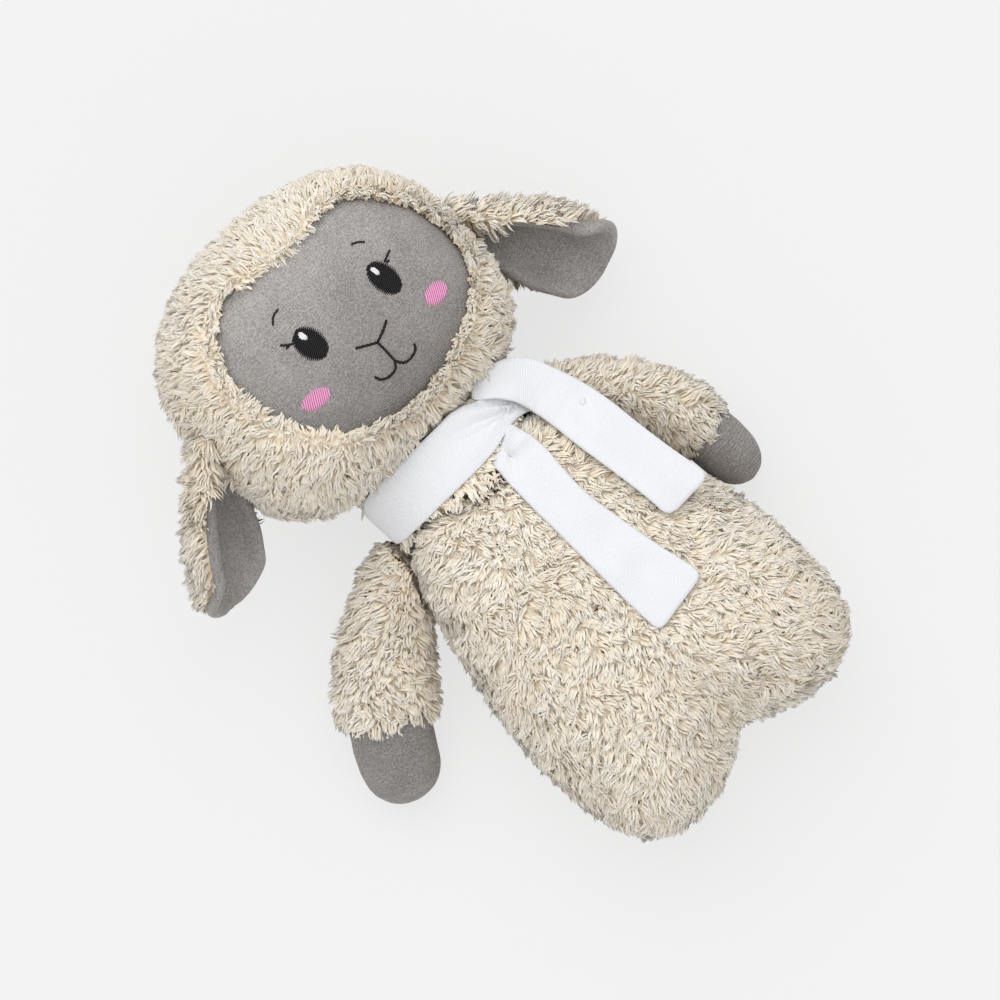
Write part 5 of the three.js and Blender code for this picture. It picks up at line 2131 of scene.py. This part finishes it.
@dataclass
class Scarf:
    """The jersey strip round the neck, with its tack and its two ends."""

    finishes: Finishes
    neck_height: float = 44.5 * MM
    neck_half: tuple[float, float] = (43 * MM, 33 * MM)
    neck_radius: float = 38 * MM
    knot: tuple[float, float] = (34.0 * MM, 84.0 * MM)
    folds: int = 9
    tack: tuple[float, float, float] = (54.3 * MM, 65.0 * MM, 0.2)

    def band(self) -> None:
        """Builds the part that goes round the neck, drawn into folds where its ends cross."""
        made = mesh_object("scarf_band_cloth", *joined_solids(["scarf_band"]))
        apply_modifier(made, "WELD", merge_threshold=0.02 * MM)
        edit_whole(made, bpy.ops.mesh.tris_convert_to_quads, face_threshold=1.0, shape_threshold=1.0)
        apply_modifier(made, "SUBSURF", levels=2, render_levels=2)
        points, _ = vertex_arrays(made)
        x, y, z = points.T
        away_x, away_y = x - self.knot[0], y - self.knot[1]
        angle = np.arctan2(away_y, away_x)
        near = smooth(np.hypot(away_x, away_y), 46 * MM, 12 * MM) * smooth(z, 50 * MM, 66 * MM)
        folds = np.cos(self.folds * (angle - 2.45)) * near * np.exp(-(((angle - 2.6) / 0.55) ** 2))
        sink(made, -(2.2 * folds + 0.4 * field_noise(points, 12 * MM, 5.5)) * MM)
        around = np.arctan2((z - self.neck_height) / self.neck_half[1], x / self.neck_half[0])
        face_map(made, CLOTH_MAP, np.column_stack([y, around * self.neck_radius + 0.3 * y]))
        dress(made, self.finishes.jersey, ["scarf_band"], body="torso")

    def build(self) -> None:
        """Builds the band, both ends and the tack."""
        self.band()
        strips = [strip.build(self.finishes.jersey) for strip in (LEFT_STRIP, RIGHT_STRIP)]
        hit = tree_of([], [strips[0].name]).ray_cast(Vector(self.tack), Vector((0, 0, -1)))[0]
        steps = np.linspace(-1, 1, 9)
        rise = 0.9 * MM * (1 - steps**2) - 0.1 * MM
        threads = []
        for angle, length in ((0.5, 3.6), (2.3, 3.0), (1.3, 2.2), (2.9, 2.6)):
            way = np.array([math.cos(angle), math.sin(angle), 0]) * length * MM / 2
            threads.append(np.array(hit) + np.outer(steps, way) + np.outer(rise, (0, 0, 1)))
        tack = round_threads("scarf_tack_stitch", threads, 1.05 * MM)
        thread = Thread.WHITE
        dress(tack, self.finishes.threads[thread], ["scarf_tack"], body="torso")


def round_threads(name: str, lines: list[np.ndarray], width: float, sides: int = 8) -> bpy.types.Object:
    """Round threads along the given lines, each thinner at both ends.

    Args:
        name: the piece's name.
        lines: the middle line of each thread.
        width: how wide a thread is.
        sides: how many sides it has.

    Returns:
        The new object.
    """
    tubes = []
    for line in lines:
        along = unit(np.gradient(line, axis=0))
        across = unit(np.cross(along, np.array([0.1, 0.2, 1.0])))
        radius = width / 2 * np.sqrt(np.clip(1 - np.linspace(-1, 1, len(line)) ** 6, 0.05, 1))
        rings = section(across, np.cross(across, along), sides)
        tubes.append(line[:, None] + rings * radius[:, None, None])
    return closed_tubes(name, tubes, [reach_along(line) for line in lines])


# ---- filling ----


@dataclass
class Filling:
    """The loose fibre inside, which the seams hide."""

    finishes: Finishes

    def build(self) -> None:
        """Builds a lumpy mass of fibre for each filled space."""
        places = {"torso_filling": "torso", "neck_filling": None, "head_filling": "head"}
        places |= {f"{side.word}_arm_filling": f"{side.word}_arm" for side in Side}
        for solid, body in places.items():
            fibre = envelope(f"{solid}_fibre", [solid], voxel=4 * MM, rounds=2)
            lumps = field_noise(vertex_arrays(fibre)[0], 11 * MM)
            sink(fibre, 1.6 * MM + 1.2 * MM * lumps)
            dress(fibre, self.finishes.stuffing, [solid], body=body)
            if body is None:
                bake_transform(fibre)


# ---- studio ----


@dataclass
class Studio:
    """A pale floor, soft light and a camera straight above."""

    aim: tuple[float, float, float] = (-0.48 * MM, 62.44 * MM, 45 * MM)
    turn: float = math.radians(-47)
    view_width: float = 430 * MM
    lens: float = 500.0
    sensor: float = 36.0
    pale: Colour = srgb(241, 241, 241)
    evenness: float = 0.8

    def camera(self) -> None:
        """Puts the camera where the photograph was taken from."""
        data = bpy.data.cameras.new("camera")
        data.lens, data.sensor_width = self.lens, self.sensor
        made = new_object("camera", data)
        height = self.view_width * self.lens / self.sensor
        made.location = Vector(self.aim) + Vector((0, 0, height))
        made.rotation_euler = (0, 0, self.turn)
        data.clip_start, data.clip_end = 0.05, 50
        bpy.context.scene.camera = made

    def floor(self) -> None:
        """Lays the pale floor, which keeps a faint shadow."""
        bpy.ops.mesh.primitive_plane_add(size=60, location=(0, 0, -0.2 * MM))
        floor = bpy.context.object
        floor.name = "floor"
        graph = Graph("pale_floor")
        patches = graph.noise(graph.object_place(), 0.8, 1.0)
        near = tuple(value * 0.995 for value in self.pale)
        graph.dress(Base_Color=graph.mix(patches, near, self.pale), Roughness=0.95, Specular_IOR_Level=0.05)
        even = graph.add("ShaderNodeEmission", {"Color": (*self.pale, 1), "Strength": 1.0})
        path = graph.add("ShaderNodeLightPath")
        share = graph.math("MULTIPLY", path.outputs["Is Camera Ray"], self.evenness)
        mixed = graph.add("ShaderNodeMixShader", {0: share, 1: graph.shader.outputs[0], 2: even.outputs[0]})
        graph.tree.links.new(mixed.outputs[0], graph.tree.nodes["Material Output"].inputs[0])
        floor.data.materials.append(graph.material)

    def lamp(self, name: str, way: tuple[float, float, float], softness: float, strength: float) -> None:
        """Hangs one far, wide lamp that shines from the given way.

        Args:
            name: the lamp's name.
            way: where it hangs.
            softness: how wide it looks, in degrees.
            strength: how bright it is.
        """
        data = bpy.data.lights.new(name, "SUN")
        data.angle, data.energy = math.radians(softness), strength
        made = new_object(name, data)
        made.location = Vector(way) * 3
        made.rotation_euler = Vector(way).to_track_quat("Z", "Y").to_euler()

    def world(self) -> None:
        """Fills the room with even light, and shows it as pale as the floor."""
        world = bpy.data.worlds.new("room")
        bpy.context.scene.world = world
        world.use_nodes = True
        tree = world.node_tree
        seen = tree.nodes.new("ShaderNodeBackground")
        seen.inputs[0].default_value = (*self.pale, 1)
        light = tree.nodes["Background"]
        light.inputs[0].default_value = (1.0, 1.0, 1.0, 1)
        light.inputs[1].default_value = 0.62
        path = tree.nodes.new("ShaderNodeLightPath")
        mixed = tree.nodes.new("ShaderNodeMixShader")
        tree.links.new(path.outputs["Is Camera Ray"], mixed.inputs[0])
        tree.links.new(light.outputs[0], mixed.inputs[1])
        tree.links.new(seen.outputs[0], mixed.inputs[2])
        tree.links.new(mixed.outputs[0], tree.nodes["World Output"].inputs[0])

    def build(self) -> None:
        """Sets up everything that isn't part of the toy."""
        bpy.context.scene.view_settings.view_transform = "Standard"
        self.camera()
        self.floor()
        self.lamp("key", (0.25, 0.6, 0.95), softness=60, strength=1.4)
        self.lamp("fill", (-0.5, -0.6, 0.8), softness=90, strength=0.45)
        self.world()


# ---- toy ----


def main() -> None:
    """Builds the studio and the toy, sub-assembly by sub-assembly."""
    rng = np.random.default_rng(SEED)
    Studio().build()
    finishes = Finishes.made()
    head = Head(finishes, rng)
    right_arm = Arm(
        finishes, rng, Side.RIGHT, shoulder_height=75.5 * MM,
        root_drop=18, tip_drop=66, lean=13, swell=0.18, stretch=7 * MM,
    )
    left_arm = Arm(
        finishes, rng, Side.LEFT, shoulder_height=82.5 * MM,
        root_drop=35, tip_drop=100, lean=9, swell=0.05,
    )
    right_ear = Ear(
        finishes, rng, Side.RIGHT, hinge=(-76.1, 163.8, 82.6),
        root_drop=38, tip_drop=55, lean=28, facing=50, curls=(1.45, 1.85),
        laps=(3 * MM, 1.5 * MM), openings=(0.42, 0.34), tips=(0.6, 0.84),
    )
    left_ear = Ear(
        finishes, rng, Side.LEFT, hinge=(78.8, 151.6, 43.9),
        root_drop=52, tip_drop=66, lean=22, facing=18, curls=(2.1, 1.2),
        laps=(-2.0 * MM, 2 * MM), openings=(0.46, 0.42), tips=(0.6, 0.55), tip_reach=35 * MM,
    )
    sewn = [Torso(finishes, rng), Neck(finishes, rng), head, Embroidery(finishes, head.form)]
    parts = [Scarf(finishes), *sewn, right_arm, left_arm, right_ear, left_ear, Filling(finishes)]
    for part in parts:
        part.build()
        log.info("%s is built", type(part).__name__)


if __name__ == "__main__":
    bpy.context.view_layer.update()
    main()
